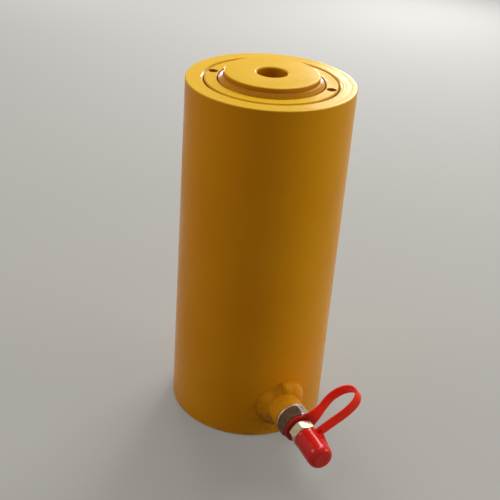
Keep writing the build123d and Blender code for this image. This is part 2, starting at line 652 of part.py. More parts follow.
def coupler_body():
    """Coupler half: screwed stub, neck, small hexagon, nose and stepped valve bore."""
    groove_start = COUPLER_HEX_END + NOSE_GROOVE_SETBACK
    groove_end = groove_start + NOSE_GROOVE_WIDTH
    body = turned(
        [
            (0, COUPLER_START),
            (COUPLER_THREAD_RADIUS, COUPLER_START),
            (COUPLER_THREAD_RADIUS, ADAPTER_END),
            (NECK_RADIUS, ADAPTER_END),
            (NECK_RADIUS, COUPLER_HEX_START),
            (NOSE_RADIUS, COUPLER_HEX_END),
            (NOSE_RADIUS, groove_start),
            (NOSE_RADIUS - NOSE_GROOVE_DEPTH, groove_start + NOSE_GROOVE_DEPTH),
            (NOSE_RADIUS - NOSE_GROOVE_DEPTH, groove_end - NOSE_GROOVE_DEPTH),
            (NOSE_RADIUS, groove_end),
            (NOSE_RADIUS, NOSE_END - NOSE_CHAMFER),
            (NOSE_RADIUS - NOSE_CHAMFER, NOSE_END),
            (0, NOSE_END),
        ]
    )
    body += hexagon_bar(
        COUPLER_ACROSS_FLATS, COUPLER_HEX_DEG, COUPLER_HEX_START, COUPLER_HEX_END
    )
    body -= turned(
        [
            (0, COUPLER_START),
            (CHAMBER_RADIUS, COUPLER_START),
            (CHAMBER_RADIUS, CHAMBER_END),
            (SEAT_RADIUS, SEAT_START),
            (SEAT_RADIUS, NOSE_END - PROBE_SOCKET_DEPTH),
            (PROBE_SOCKET_RADIUS, NOSE_END - PROBE_SOCKET_DEPTH),
            (PROBE_SOCKET_RADIUS, NOSE_END),
            (0, NOSE_END),
        ]
    )
    body -= tube(0, CHAMBER_RADIUS + CLIP_BITE, CLIP_START, GUIDE_PLATE_START)
    return on_port(body)


def poppet_clip():
    """Open snap ring behind the poppet's guide plate."""
    inner = CHAMBER_RADIUS - 2 * CLIP_BITE
    outer = CHAMBER_RADIUS + CLIP_BITE
    return on_port(open_ring(inner, outer, CLIP_START, GUIDE_PLATE_START))


def poppet_guide_plate():
    """Plate with oil holes that guides the poppet's stem and backs its spring."""
    inner = POPPET_STEM_RADIUS + RUNNING_CLEARANCE
    plate = tube(inner, CHAMBER_RADIUS, GUIDE_PLATE_START, GUIDE_PLATE_END)
    hole = disc(POPPET_GUIDE_HOLE_RADIUS, GUIDE_PLATE_START, GUIDE_PLATE_END)
    middle = (POPPET_STEM_RADIUS + CHAMBER_RADIUS) / 2
    return on_port(plate - PolarLocations(middle, POPPET_GUIDE_HOLES) * hole)


def poppet_cone_start():
    """Station where the poppet's cone begins, one valve gap clear of the seat."""
    clearance = VALVE_GAP * math.hypot(CHAMBER_RADIUS - SEAT_RADIUS, SEAT_CONE_LENGTH)
    radial_gap = clearance / SEAT_CONE_LENGTH
    slope = SEAT_CONE_LENGTH / (CHAMBER_RADIUS - SEAT_RADIUS)
    return CHAMBER_END + (CHAMBER_RADIUS - radial_gap - POPPET_HEAD_RADIUS) * slope


def check_poppet():
    """Poppet that closes the coupler: stem, head, sealing cone and probe nose."""
    slope = SEAT_CONE_LENGTH / (CHAMBER_RADIUS - SEAT_RADIUS)
    cone_start = poppet_cone_start()
    cone_end = cone_start + (POPPET_HEAD_RADIUS - POPPET_NOSE_RADIUS) * slope
    nose_end = cone_end + POPPET_NOSE_LENGTH
    poppet = turned(
        [
            (0, POPPET_START - POPPET_STEM_LENGTH),
            (POPPET_STEM_RADIUS, POPPET_START - POPPET_STEM_LENGTH),
            (POPPET_STEM_RADIUS, POPPET_START),
            (POPPET_HEAD_RADIUS, POPPET_START),
            (POPPET_HEAD_RADIUS, cone_start),
            (POPPET_NOSE_RADIUS, cone_end),
            (POPPET_NOSE_RADIUS, nose_end),
            (0, nose_end),
        ]
    )
    seal_end = cone_start - POPPET_SEAL_SETBACK
    return on_port(
        poppet
        - tube(
            POPPET_HEAD_RADIUS - POPPET_SEAL_SECTION,
            CHAMBER_RADIUS,
            seal_end - POPPET_SEAL_SECTION,
            seal_end,
        )
    )


def poppet_seal():
    """Ring in the poppet's groove."""
    seal_end = poppet_cone_start() - POPPET_SEAL_SETBACK
    return on_port(
        tube(
            POPPET_HEAD_RADIUS - POPPET_SEAL_SECTION,
            POPPET_HEAD_RADIUS + POPPET_SEAL_PROUD,
            seal_end - POPPET_SEAL_SECTION,
            seal_end,
        )
    )


def poppet_spring():
    """Small compression spring that holds the poppet on its seat."""
    start = GUIDE_PLATE_END + VALVE_SPRING_WIRE + VALVE_GAP
    end = POPPET_START - VALVE_SPRING_WIRE - VALVE_GAP
    return on_port(
        wound_wire(VALVE_SPRING_RADIUS, VALVE_SPRING_WIRE, VALVE_SPRING_TURNS, start, end)
    )


def dust_cap_ring():
    """Soft ring that turns on the coupler's neck, with the flared root of its strap."""
    end = CAP_RING_START + CAP_RING_THICKNESS
    ring = disc(CAP_RING_RADIUS, CAP_RING_START, end)
    tab = Polyline(
        (0, -CAP_TAB_ROOT_WIDTH / 2),
        (CAP_TAB_REACH, -STRAP_WIDTH / 2),
        (CAP_TAB_REACH, STRAP_WIDTH / 2),
        (0, CAP_TAB_ROOT_WIDTH / 2),
        close=True,
    )
    tab_start = CAP_RING_MIDDLE - STRAP_THICKNESS / 2
    ring += Pos(0, 0, tab_start) * extrude(make_face(tab), STRAP_THICKNESS)
    return at_strap_angle(ring - disc(NECK_RADIUS + BODY_GAP, CAP_RING_START, end))


def dust_cap_strap():
    """Flat moulded strap that loops out from the ring and back to the dust cap."""
    out_level = CAP_RING_MIDDLE
    back_level = CAP_LUG_STATION
    route = [
        (CAP_TAB_REACH, 0, out_level),
        (CAP_TAB_REACH + 2 * STRAP_THICKNESS, 0, out_level),
    ]
    for reach, swing in STRAP_OUT_RUN:
        route.append((reach * STRAP_REACH, 0, out_level - swing * STRAP_BACK_SWING))
    route.append((STRAP_REACH, 0, (out_level + back_level) / 2))
    for reach, rise in STRAP_HOME_RUN:
        route.append((reach * STRAP_REACH, 0, back_level + rise * STRAP_THICKNESS))
    route.append((CAP_LUG_REACH + BODY_GAP, 0, back_level))
    path = FilletPolyline(*route, radius=corner_radii(route))
    section = Plane(origin=route[0], x_dir=(0, 1, 0), z_dir=path % 0)
    band = sweep(section * Rectangle(STRAP_WIDTH, STRAP_THICKNESS), path=path)
    return at_strap_angle(band)


def corner_radii(points):
    """For each inner corner, an arc that takes a set share of the shorter run beside it."""
    radii = []
    for before, corner, after in zip(points, points[1:], points[2:]):
        arriving = Vector(*corner) - Vector(*before)
        leaving = Vector(*after) - Vector(*corner)
        half_turn = math.radians(arriving.get_angle(leaving)) / 2
        rounded = STRAP_CORNER_SHARE * min(arriving.length, leaving.length)
        radii.append(rounded / math.tan(half_turn))
    return radii


def dust_cap():
    """Soft cup pushed over the coupler's nose, with the strap's lug and a side rib."""
    inner = NOSE_RADIUS + BODY_GAP
    cap = turned(
        [
            (0, CAP_START),
            (CAP_BASE_RADIUS, CAP_START),
            (CAP_END_RADIUS, CAP_END),
            (0, CAP_END),
        ]
    )
    cap = fillet(cap.edges().sort_by(Axis.Z)[-1], CAP_END_FILLET)
    lug_start = CAP_LUG_STATION - STRAP_THICKNESS / 2
    lug = Pos(CAP_LUG_REACH / 2, 0, CAP_LUG_STATION) * Box(
        CAP_LUG_REACH, STRAP_WIDTH, STRAP_THICKNESS
    )
    rib = extrude(
        make_face(
            Plane.XZ
            * Polyline(
                (inner, lug_start),
                (CAP_LUG_REACH - STRAP_THICKNESS, lug_start + STRAP_THICKNESS),
                (CAP_BASE_RADIUS, lug_start + CAP_RIB_LENGTH),
                (inner, lug_start + CAP_RIB_LENGTH),
                close=True,
            )
        ),
        CAP_RIB_WIDTH / 2,
        both=True,
    )
    return at_strap_angle(cap + lug + rib - disc(inner, CAP_START, CAP_CAVITY_END))


SUB_PARTS = [
    cylinder_barrel,
    gland_nut,
    rod_wiper,
    gland_guide_ring,
    lower_spring_anchor,
    return_spring,
    port_boss,
    weld_bead,
    port_sealing_washer,
    coupler_adapter,
    coupler_seal,
    coupler_body,
    poppet_clip,
    poppet_guide_plate,
    poppet_spring,
    check_poppet,
    poppet_seal,
    plunger,
    piston,
    piston_lock_nut,
    piston_static_seal,
    piston_cup_seal,
    piston_backup_ring,
    piston_wear_ring,
    upper_spring_anchor,
    saddle,
    saddle_retaining_ring,
    dust_cap_ring,
    dust_cap_strap,
    dust_cap,
]

os.makedirs("parts", exist_ok=True)
for sub_part in SUB_PARTS:
    export_step(sub_part(), f"parts/{sub_part.__name__}.step")
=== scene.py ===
"""Looks of a single-acting, spring return hydraulic cylinder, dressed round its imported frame.

Lengths are in metres. The origin is the centre of the cylinder's foot, +Z is the way the plunger
rises, and the oil port points along -Y.
"""

import logging
from dataclasses import dataclass
from enum import Enum

import bmesh
import bpy
import numpy as np
from mathutils import Matrix, Vector


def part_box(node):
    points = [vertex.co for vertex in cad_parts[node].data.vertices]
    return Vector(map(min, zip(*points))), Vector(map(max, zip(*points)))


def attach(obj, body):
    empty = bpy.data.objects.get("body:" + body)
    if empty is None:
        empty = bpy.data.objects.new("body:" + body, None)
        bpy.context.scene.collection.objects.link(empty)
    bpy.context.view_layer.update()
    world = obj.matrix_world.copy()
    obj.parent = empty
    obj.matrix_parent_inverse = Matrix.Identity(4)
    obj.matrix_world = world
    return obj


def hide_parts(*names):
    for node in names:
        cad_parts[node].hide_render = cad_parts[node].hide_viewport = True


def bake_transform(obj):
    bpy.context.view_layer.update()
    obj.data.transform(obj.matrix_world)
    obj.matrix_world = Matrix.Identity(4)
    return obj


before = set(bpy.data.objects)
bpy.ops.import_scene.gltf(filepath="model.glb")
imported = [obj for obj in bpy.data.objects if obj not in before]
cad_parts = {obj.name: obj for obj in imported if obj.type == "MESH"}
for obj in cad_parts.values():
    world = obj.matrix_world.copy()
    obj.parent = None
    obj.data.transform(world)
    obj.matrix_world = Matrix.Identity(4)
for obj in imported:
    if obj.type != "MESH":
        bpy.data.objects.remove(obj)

LOG = logging.getLogger("hydraulic_cylinder")
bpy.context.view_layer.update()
TURN = 2 * np.pi
MERGE_DISTANCE = 1e-6

Colour = tuple[float, float, float, float]
Socket = bpy.types.NodeSocket


def height_middle(node: str) -> float:
    """Height of the middle of a CAD node's box."""
    low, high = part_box(node)
    return (low.z + high.z) / 2


PORT_HEIGHT = height_middle("coupler_body")


# Surfaces


def soften(outline: np.ndarray, cut: float, steps: int, closed: bool = True) -> np.ndarray:
    """Rounds a line's corners with parabolic arcs.

    Each arc leaves the line one cut before its corner, or half a run before it where the run is
    shorter, and meets it as far beyond: P = (1-t)^2 A + 2t(1-t) corner + t^2 B.

    Args:
        outline: Corner points, one per row.
        cut: Distance from a corner to the ends of its arc.
        steps: Points on each arc.
        closed: Whether the last corner runs on to the first.

    Returns:
        The rounded line's points, with the two ends kept where it is open.
    """
    before, after = np.roll(outline, 1, axis=0), np.roll(outline, -1, axis=0)
    corners = outline if closed else outline[1:-1]
    before, after = (before, after) if closed else (before[1:-1], after[1:-1])
    arriving, leaving = before - corners, after - corners
    arriving_run = np.linalg.norm(arriving, axis=1, keepdims=True)
    leaving_run = np.linalg.norm(leaving, axis=1, keepdims=True)
    start = corners + arriving / arriving_run * np.minimum(cut, arriving_run / 2)
    end = corners + leaving / leaving_run * np.minimum(cut, leaving_run / 2)
    t = np.linspace(0, 1, steps)[None, :, None]
    arcs = (
        (1 - t) ** 2 * start[:, None]
        + 2 * t * (1 - t) * corners[:, None]
        + t**2 * end[:, None]
    )
    arcs = arcs.reshape(-1, outline.shape[1])
    return arcs if closed else np.vstack([outline[:1], arcs, outline[-1:]])


def grid_quads(rows: int, columns: int, closed_rows: bool, closed_columns: bool) -> np.ndarray:
    """Quads between neighbours of a grid of points.

    Args:
        rows: Number of rows of points.
        columns: Number of points in each row.
        closed_rows: Whether the last row joins the first.
        closed_columns: Whether the last point of a row joins its first.

    Returns:
        Four point numbers for each quad.
    """
    row, column = np.meshgrid(
        np.arange(rows if closed_rows else rows - 1),
        np.arange(columns if closed_columns else columns - 1),
        indexing="ij",
    )
    next_row, next_column = (row + 1) % rows, (column + 1) % columns
    corners = [
        row * columns + column,
        row * columns + next_column,
        next_row * columns + next_column,
        next_row * columns + column,
    ]
    return np.stack(corners, axis=-1).reshape(-1, 4)


def lathe(
    radius: np.ndarray, height: np.ndarray, segments: int, closed: bool
) -> tuple[np.ndarray, np.ndarray]:
    """Turns a profile about +Z: x = r cos a, y = r sin a, z = h.

    Args:
        radius: Radii down the profile, as one column or as a grid that varies round the turn.
        height: Height of each profile point.
        segments: Points round the turn.
        closed: Whether the profile is a closed outline.

    Returns:
        Points and quads.
    """
    angle = np.arange(segments) / segments * TURN
    grid_radius = np.broadcast_to(radius, (len(height), segments))
    points = np.stack(
        [
            grid_radius * np.cos(angle),
            grid_radius * np.sin(angle),
            np.broadcast_to(height[:, None], grid_radius.shape),
        ],
        axis=-1,
    )
    return points.reshape(-1, 3), grid_quads(len(height), segments, closed, True)


def tube_along(path: np.ndarray, radius: float, sides: int) -> tuple[np.ndarray, np.ndarray]:
    """A round wire along a coil about +Z, with closed ends.

    The section at each point lies across the path, between the outward and the rising direction.

    Args:
        path: Centre line's points.
        radius: Wire radius.
        sides: Points round the wire.

    Returns:
        Points and quads.
    """
    along = np.gradient(path, axis=0)
    along /= np.linalg.norm(along, axis=1, keepdims=True)
    outward = path * [1, 1, 0]
    outward /= np.linalg.norm(outward, axis=1, keepdims=True)
    rising = np.cross(along, outward)
    angle = np.arange(sides) / sides * TURN
    thickness = np.full(len(path), radius)
    thickness[[0, -1]] = 0.0
    ring = outward[:, None] * np.cos(angle)[None, :, None]
    ring = ring + rising[:, None] * np.sin(angle)[None, :, None]
    points = path[:, None] + thickness[:, None, None] * ring
    return points.reshape(-1, 3), grid_quads(len(path), sides, False, True)


def on_port(points: np.ndarray, turn_deg: float = 0.0) -> np.ndarray:
    """Places points from the port's own frame into the cylinder's.

    Args:
        points: Points whose +Z runs out along the port and whose +Y is up.
        turn_deg: Turn about the port before they are placed.

    Returns:
        The same points about the port.
    """
    turn = np.radians(turn_deg)
    across = points[:, 0] * np.cos(turn) - points[:, 1] * np.sin(turn)
    upward = points[:, 0] * np.sin(turn) + points[:, 1] * np.cos(turn)
    return np.stack([across, -points[:, 2], PORT_HEIGHT + upward], axis=-1)


def rounded_slab(half_thickness: float, half_width: float, cut: float) -> np.ndarray:
    """Outline of a flat section with rounded edges, as (thickness, width) points."""
    corners = np.array([(1, -1), (1, 1), (-1, 1), (-1, -1)]) * [half_thickness, half_width]
    return soften(corners, cut, 5)


def joined(*shapes: tuple[np.ndarray, np.ndarray]) -> tuple[np.ndarray, np.ndarray]:
    """Several shapes' points and quads as one shape."""
    starts = np.cumsum([0] + [len(points) for points, _ in shapes[:-1]])
    quads = [faces + start for (_, faces), start in zip(shapes, starts)]
    return np.vstack([points for points, _ in shapes]), np.vstack(quads)


def make_piece(
    name: str, shape: tuple[np.ndarray, np.ndarray], sharp_deg: float = 40.0
) -> bpy.types.Object:
    """Puts a shape into the scene as one closed, smooth piece.

    Args:
        name: The piece's name.
        shape: Points and quads.
        sharp_deg: Edges that turn more than this stay crisp.

    Returns:
        The new object, with its place in its mesh.
    """
    points, quads = shape
    mesh = bpy.data.meshes.new(name)
    mesh.from_pydata(points.tolist(), [], quads.tolist())
    form = bmesh.new()
    form.from_mesh(mesh)
    bmesh.ops.remove_doubles(form, verts=form.verts, dist=MERGE_DISTANCE)
    bmesh.ops.delete(form, geom=[v for v in form.verts if not v.link_faces], context="VERTS")
    bmesh.ops.recalc_face_normals(form, faces=form.faces)
    form.to_mesh(mesh)
    form.free()
    mesh.shade_smooth()
    mesh.set_sharp_from_angle(angle=np.radians(sharp_deg))
    piece = bpy.data.objects.new(name, mesh)
    bpy.context.scene.collection.objects.link(piece)
    LOG.info("%s: %d faces", name, len(mesh.polygons))
    return piece


def fuse(piece: bpy.types.Object, voxel: float, passes: int) -> None:
    """Makes a piece's overlapping shells one moulded skin with softened inner corners.

    Args:
        piece: The object to change.
        voxel: Size of the grid that the skin is drawn on.
        passes: Rounds of smoothing.
    """
    remesh = piece.modifiers.new("one_skin", "REMESH")
    remesh.mode = "VOXEL"
    remesh.voxel_size = voxel
    smooth = piece.modifiers.new("soft_corners", "SMOOTH")
    smooth.factor = 0.5
    smooth.iterations = passes
    seen = piece.evaluated_get(bpy.context.evaluated_depsgraph_get())
    skin = bpy.data.meshes.new_from_object(seen)
    piece.modifiers.clear()
    piece.data = skin
    skin.shade_smooth()
    LOG.info("%s fused: %d faces", piece.name, len(skin.polygons))


# Finishes


class Axis(Enum):
    """Which axis a piece was turned about."""

    PLUNGER = "plunger"
    PORT = "port"


class Recipe:
    """One finish under construction: a Principled shader fed by patterns on Object coordinates."""

    def __init__(self, name: str) -> None:
        """Starts an empty finish with its shader."""
        self.material = bpy.data.materials.new(name)
        self.material.use_nodes = True
        self.tree = self.material.node_tree
        self.tree.nodes.clear()
        output = self.tree.nodes.new("ShaderNodeOutputMaterial")
        self.shader = self.tree.nodes.new("ShaderNodeBsdfPrincipled")
        self.tree.links.new(self.shader.outputs["BSDF"], output.inputs["Surface"])
        self.place = self.tree.nodes.new("ShaderNodeTexCoord").outputs["Object"]

    def node(self, kind: str, inputs: dict, **settings: object) -> bpy.types.Node:
        """Adds a node.

        Args:
            kind: Blender's name for the kind of node.
            inputs: A value or a socket for each input's name or number.
            **settings: The node's own options.

        Returns:
            The node.
        """
        node = self.tree.nodes.new(kind)
        for key, value in settings.items():
            setattr(node, key, value)
        for key, value in inputs.items():
            if isinstance(value, Socket):
                self.tree.links.new(value, node.inputs[key])
            else:
                node.inputs[key].default_value = value
        return node

    def set(self, **values: object) -> None:
        """Sets or feeds the shader's inputs, whose names are written with underscores."""
        for key, value in values.items():
            socket = self.shader.inputs[key.replace("_", " ")]
            if isinstance(value, Socket):
                self.tree.links.new(value, socket)
            else:
                socket.default_value = value

    def noise(self, scale: float, detail: float = 2.0, place: Socket | None = None) -> Socket:
        """A cloudy pattern from 0 to 1 at so many cells a metre."""
        inputs = {"Vector": place or self.place, "Scale": scale, "Detail": detail}
        return self.node("ShaderNodeTexNoise", inputs).outputs["Fac"]

    def specks(self, scale: float, size: float) -> Socket:
        """Round specks: 1 inside a cell's middle, 0 outside, at so many cells a metre."""
        cells = self.node("ShaderNodeTexVoronoi", {"Vector": self.place, "Scale": scale})
        return self.ranged(cells.outputs["Distance"], size, 0.6 * size)

    def ranged(
        self, value: Socket, low: float, high: float, to_low: float = 0.0, to_high: float = 1.0
    ) -> Socket:
        """Stretches a value from one range to another and holds it there."""
        inputs = {
            "Value": value,
            "From Min": low,
            "From Max": high,
            "To Min": to_low,
            "To Max": to_high,
        }
        return self.node("ShaderNodeMapRange", inputs).outputs["Result"]

    def math(self, operation: str, first: Socket | float, second: Socket | float) -> Socket:
        """One sum, product or other operation of two values."""
        return self.node("ShaderNodeMath", {0: first, 1: second}, operation=operation).outputs[0]

    def mixed(self, share: Socket, first: Colour | Socket, second: Colour | Socket) -> Socket:
        """A colour between two, by a share from 0 to 1."""
        inputs = {0: share, 6: first, 7: second}
        return self.node("ShaderNodeMix", inputs, data_type="RGBA").outputs[2]

    def coordinate(self, letter: str) -> Socket:
        """One of the piece's X, Y or Z coordinates."""
        return self.node("ShaderNodeSeparateXYZ", {0: self.place}).outputs[letter]

    def distance_from(self, point: tuple[float, float, float]) -> Socket:
        """Distance from a point of the cylinder."""
        inputs = {0: self.place, 1: point}
        return self.node("ShaderNodeVectorMath", inputs, operation="DISTANCE").outputs["Value"]

    def facing_up(self) -> Socket:
        """1 where the piece's surface is level and looks up, 0 where it is steep."""
        normal = self.node("ShaderNodeTexCoord", {}).outputs["Normal"]
        rise = self.node("ShaderNodeSeparateXYZ", {0: normal}).outputs["Z"]
        return self.ranged(rise, 0.3, 0.9)

    def turned_place(self, axis: Axis) -> Socket:
        """Coordinates that change across and along a turned piece but not round it.

        Args:
            axis: The axis that the piece was turned about.

        Returns:
            A vector of radius, nothing and distance along the axis.
        """
        along, across = ("Z", "Y") if axis is Axis.PLUNGER else ("Y", "Z")
        centre = 0.0 if axis is Axis.PLUNGER else PORT_HEIGHT
        offset = self.math("SUBTRACT", self.coordinate(across), centre)
        flat = self.node("ShaderNodeCombineXYZ", {0: self.coordinate("X"), 1: offset})
        radius = self.node("ShaderNodeVectorMath", {0: flat.outputs[0]}, operation="LENGTH")
        inputs = {0: radius.outputs["Value"], 2: self.coordinate(along)}
        return self.node("ShaderNodeCombineXYZ", inputs).outputs[0]

    def bump(self, height: Socket, depth: float, strength: float = 1.0, under: Socket | None = None) -> Socket:
        """Relief from a 0 to 1 pattern.

        Args:
            height: The pattern.
            depth: Depth of the relief in metres.
            strength: Share of the relief that shows.
            under: Relief that this one lies on.

        Returns:
            A normal for the shader or for the next relief.
        """
        inputs = {"Height": height, "Distance": depth, "Strength": strength}
        if under is not None:
            inputs["Normal"] = under
        return self.node("ShaderNodeBump", inputs).outputs["Normal"]


@dataclass(frozen=True)
class EnamelPaint:
    """Yellow enamel sprayed over everything that was bolted up, with a little shop grime, and with painted
    light: lighter tops, painted shade on steep faces, crevices and the weld toe, and a painted highlight on the
    boss's worn edge.
    """

    name: str
    colour: Colour = (0.79, 0.375, 0.009, 1.0)
    deep_colour: Colour = (0.76, 0.335, 0.007, 1.0)
    lit_top_colour: Colour = (0.67, 0.405, 0.011, 1.0)
    grime_and_shade_colour: Colour = (0.17, 0.08, 0.02, 1.0)
    crevice_shade_colour: Colour = (0.055, 0.022, 0.008, 1.0)
    steel_colour: Colour = (0.12, 0.10, 0.085, 1.0)
    gloss_low: float = 0.22
    gloss_high: float = 0.36
    peel_depth: float = 0.00006
    specular: float = 0.11
    specular_tint: Colour = (1.0, 0.88, 0.6, 1.0)
    weld_point: tuple[float, float, float] = (0.0, -0.066, 0.022)
    weld_reach: float = 0.03
    foot_reach: float = 0.007
    toe_radius: float = 0.0205
    toe_half: float = 0.0013
    worn_highlight_edge: float = 0.0828
    worn_highlight_colour: Colour = (0.80, 0.66, 0.46, 1.0)
    turned_height: float = 0.27
    turned_radius: float = 0.0365
    saddle_marks: float = 0.15
    turned_marks: float = 360.0
    turned_depth: float = 0.0004
    crevice_radii: tuple[float, ...] = (0.04995, 0.0402)
    crevice_half: float = 0.0004
    steep_face_shade_colour: Colour = (0.50, 0.205, 0.005, 1.0)
    steep_face_shade_radius: float = 0.056

    def coat(self, recipe: Recipe) -> tuple[Socket, Socket, Socket]:
        """Paint's colour, roughness and relief.

        Args:
            recipe: The finish that it becomes part of.

        Returns:
            Sockets for colour, roughness and normal.
        """
        cloud = recipe.ranged(recipe.noise(16, 3), 0.35, 0.7)
        colour = recipe.mixed(cloud, self.colour, self.deep_colour)
        smear = recipe.ranged(recipe.noise(210, 4), 0.48, 0.7)
        near_weld = recipe.ranged(
            recipe.distance_from(self.weld_point), self.weld_reach, 0.4 * self.weld_reach
        )
        near_foot = recipe.ranged(recipe.coordinate("Z"), self.foot_reach, 0.0)
        low_down = recipe.math("MAXIMUM", near_weld, near_foot)
        dirty = recipe.math("MULTIPLY", low_down, smear)
        colour = recipe.mixed(recipe.math("MULTIPLY", dirty, 0.6), colour, self.grime_and_shade_colour)
        # Painted shade: a dark line along the weld's toe on its left side, in the grime's dark brown.
        toe = self.toe_shade_line(recipe)
        shaded_toe = recipe.math("MULTIPLY", toe, near_weld)
        colour = recipe.mixed(recipe.math("MULTIPLY", shaded_toe, 0.6), colour, self.grime_and_shade_colour)
        # Partly wear and partly painted highlight: the boss's end edge turns pale, only on its right side,
        # where it is lit.
        worn_highlight = recipe.ranged(
            recipe.coordinate("Y"), -self.worn_highlight_edge + 0.0003, -self.worn_highlight_edge
        )
        worn_highlight = recipe.math("MULTIPLY", worn_highlight, recipe.ranged(recipe.coordinate("X"), -0.002, 0.004))
        colour = recipe.mixed(worn_highlight, colour, self.worn_highlight_colour)
        turned_place = recipe.turned_place(Axis.PLUNGER)
        radius = recipe.node("ShaderNodeSeparateXYZ", {0: turned_place}).outputs["X"]
        on_top = recipe.ranged(
            recipe.coordinate("Z"), self.turned_height, self.turned_height + 0.003
        )
        # Painted light: level faces on top take a lighter, yellower colour, as if lit from above.
        upward = recipe.facing_up()
        colour = recipe.mixed(recipe.math("MULTIPLY", upward, on_top), colour, self.lit_top_colour)
        # Painted shade: steep faces on top, inside the barrel's rim, are darkened to brown.
        inside = recipe.ranged(radius, self.steep_face_shade_radius, self.steep_face_shade_radius - 0.0005)
        steep_face_shade = recipe.math("MULTIPLY", recipe.math("SUBTRACT", 1.0, upward), inside)
        colour = recipe.mixed(
            recipe.math("MULTIPLY", steep_face_shade, on_top), colour, self.steep_face_shade_colour
        )
        # Painted shade: thin dark rings on the gaps round the gland nut and round the plunger.
        for crevice in self.crevice_radii:
            off = recipe.math("ABSOLUTE", recipe.math("SUBTRACT", radius, crevice), 0.0)
            dark = recipe.ranged(off, self.crevice_half, 0.6 * self.crevice_half)
            colour = recipe.mixed(recipe.math("MULTIPLY", dark, on_top), colour, self.crevice_shade_colour)
        chip_zone = recipe.ranged(recipe.noise(38, 2), 0.64, 0.7)
        chip_zone = recipe.math("MULTIPLY", chip_zone, low_down)
        chips = recipe.math("MULTIPLY", recipe.specks(240, 0.16), chip_zone)
        colour = recipe.mixed(chips, colour, self.steel_colour)
        patchy = recipe.noise(30, 3)
        gloss = recipe.ranged(patchy, 0.3, 0.7, self.gloss_low, self.gloss_high)
        ringed = recipe.ranged(
            radius, self.turned_radius, self.turned_radius + 0.0005, self.saddle_marks, 1.0
        )
        marks = recipe.math("MULTIPLY", recipe.noise(self.turned_marks, 3, turned_place), on_top)
        marks = recipe.math("MULTIPLY", recipe.math("MULTIPLY", marks, ringed), upward)
        turned = recipe.bump(marks, self.turned_depth, 1.0)
        waves = recipe.bump(recipe.noise(95, 1), 3 * self.peel_depth, 0.5, turned)
        peel = recipe.bump(recipe.noise(640, 2), self.peel_depth, 0.6, waves)
        normal = recipe.bump(recipe.math("SUBTRACT", 1.0, chips), 0.00008, 0.8, peel)
        return colour, gloss, normal

    def toe_shade_line(self, recipe: Recipe) -> Socket:
        """Painted shade along the foot of the port's weld, on its left side."""
        place = recipe.node("ShaderNodeSeparateXYZ", {0: recipe.turned_place(Axis.PORT)})
        off = recipe.math("SUBTRACT", place.outputs["X"], self.toe_radius)
        line = recipe.ranged(
            recipe.math("ABSOLUTE", off, 0.0), self.toe_half, 0.3 * self.toe_half
        )
        left_side = recipe.ranged(recipe.coordinate("X"), -0.003, -0.011)
        patchy = recipe.ranged(recipe.noise(130, 3), 0.35, 0.6, 0.45, 1.0)
        return recipe.math("MULTIPLY", recipe.math("MULTIPLY", line, left_side), patchy)

    def material(self) -> bpy.types.Material:
        """The paint as a material."""
        recipe = Recipe(self.name)
        colour, gloss, normal = self.coat(recipe)
        recipe.set(
            Base_Color=colour,
            Roughness=gloss,
            Normal=normal,
            Specular_IOR_Level=self.specular,
            Specular_Tint=self.specular_tint,
        )
        return recipe.material


@dataclass(frozen=True)
class PlungerSkin:
    """Hard plated, ground rod, painted over where it stood proud of the gland."""

    name: str
    paint: EnamelPaint
    paint_height: float
    plate_colour: Colour = (0.62, 0.63, 0.65, 1.0)
    oil_colour: Colour = (0.43, 0.42, 0.40, 1.0)
    paint_edge: float = 0.0016
    shoulder_shade_colour: Colour = (0.50, 0.21, 0.005, 1.0)
    shoulder_shade_radius: float = 0.0394

    def material(self) -> bpy.types.Material:
        """The plated and painted skin as a material."""
        recipe = Recipe(self.name)
        colour, gloss, normal = self.paint.coat(recipe)
        wander = recipe.ranged(recipe.noise(160, 3), 0.3, 0.7, 0.0, self.paint_edge)
        level = recipe.math("SUBTRACT", recipe.coordinate("Z"), wander)
        painted = recipe.ranged(level, self.paint_height, self.paint_height + 0.0003)
        film = recipe.ranged(recipe.noise(24, 4), 0.45, 0.75)
        plate = recipe.mixed(film, self.plate_colour, self.oil_colour)
        grinding = recipe.noise(5200, 2, recipe.turned_place(Axis.PLUNGER))
        plate_gloss = recipe.ranged(grinding, 0.3, 0.7, 0.1, 0.2)
        bare = recipe.math("SUBTRACT", 1.0, painted)
        mixed_gloss = recipe.math(
            "ADD", recipe.math("MULTIPLY", gloss, painted), recipe.math("MULTIPLY", plate_gloss, bare)
        )
        radius = recipe.node(
            "ShaderNodeSeparateXYZ", {0: recipe.turned_place(Axis.PLUNGER)}
        ).outputs["X"]
        # Painted shade: the painted shoulder sloping up to the saddle is darkened to brown.
        shoulder = recipe.ranged(radius, self.shoulder_shade_radius, self.shoulder_shade_radius - 0.0003)
        colour = recipe.mixed(shoulder, colour, self.shoulder_shade_colour)
        lines = recipe.bump(grinding, 0.000004, 0.5, normal)
        recipe.set(
            Base_Color=recipe.mixed(painted, plate, colour),
            Metallic=bare,
            Roughness=mixed_gloss,
            Normal=lines,
            Specular_IOR_Level=self.paint.specular,
        )
        return recipe.material


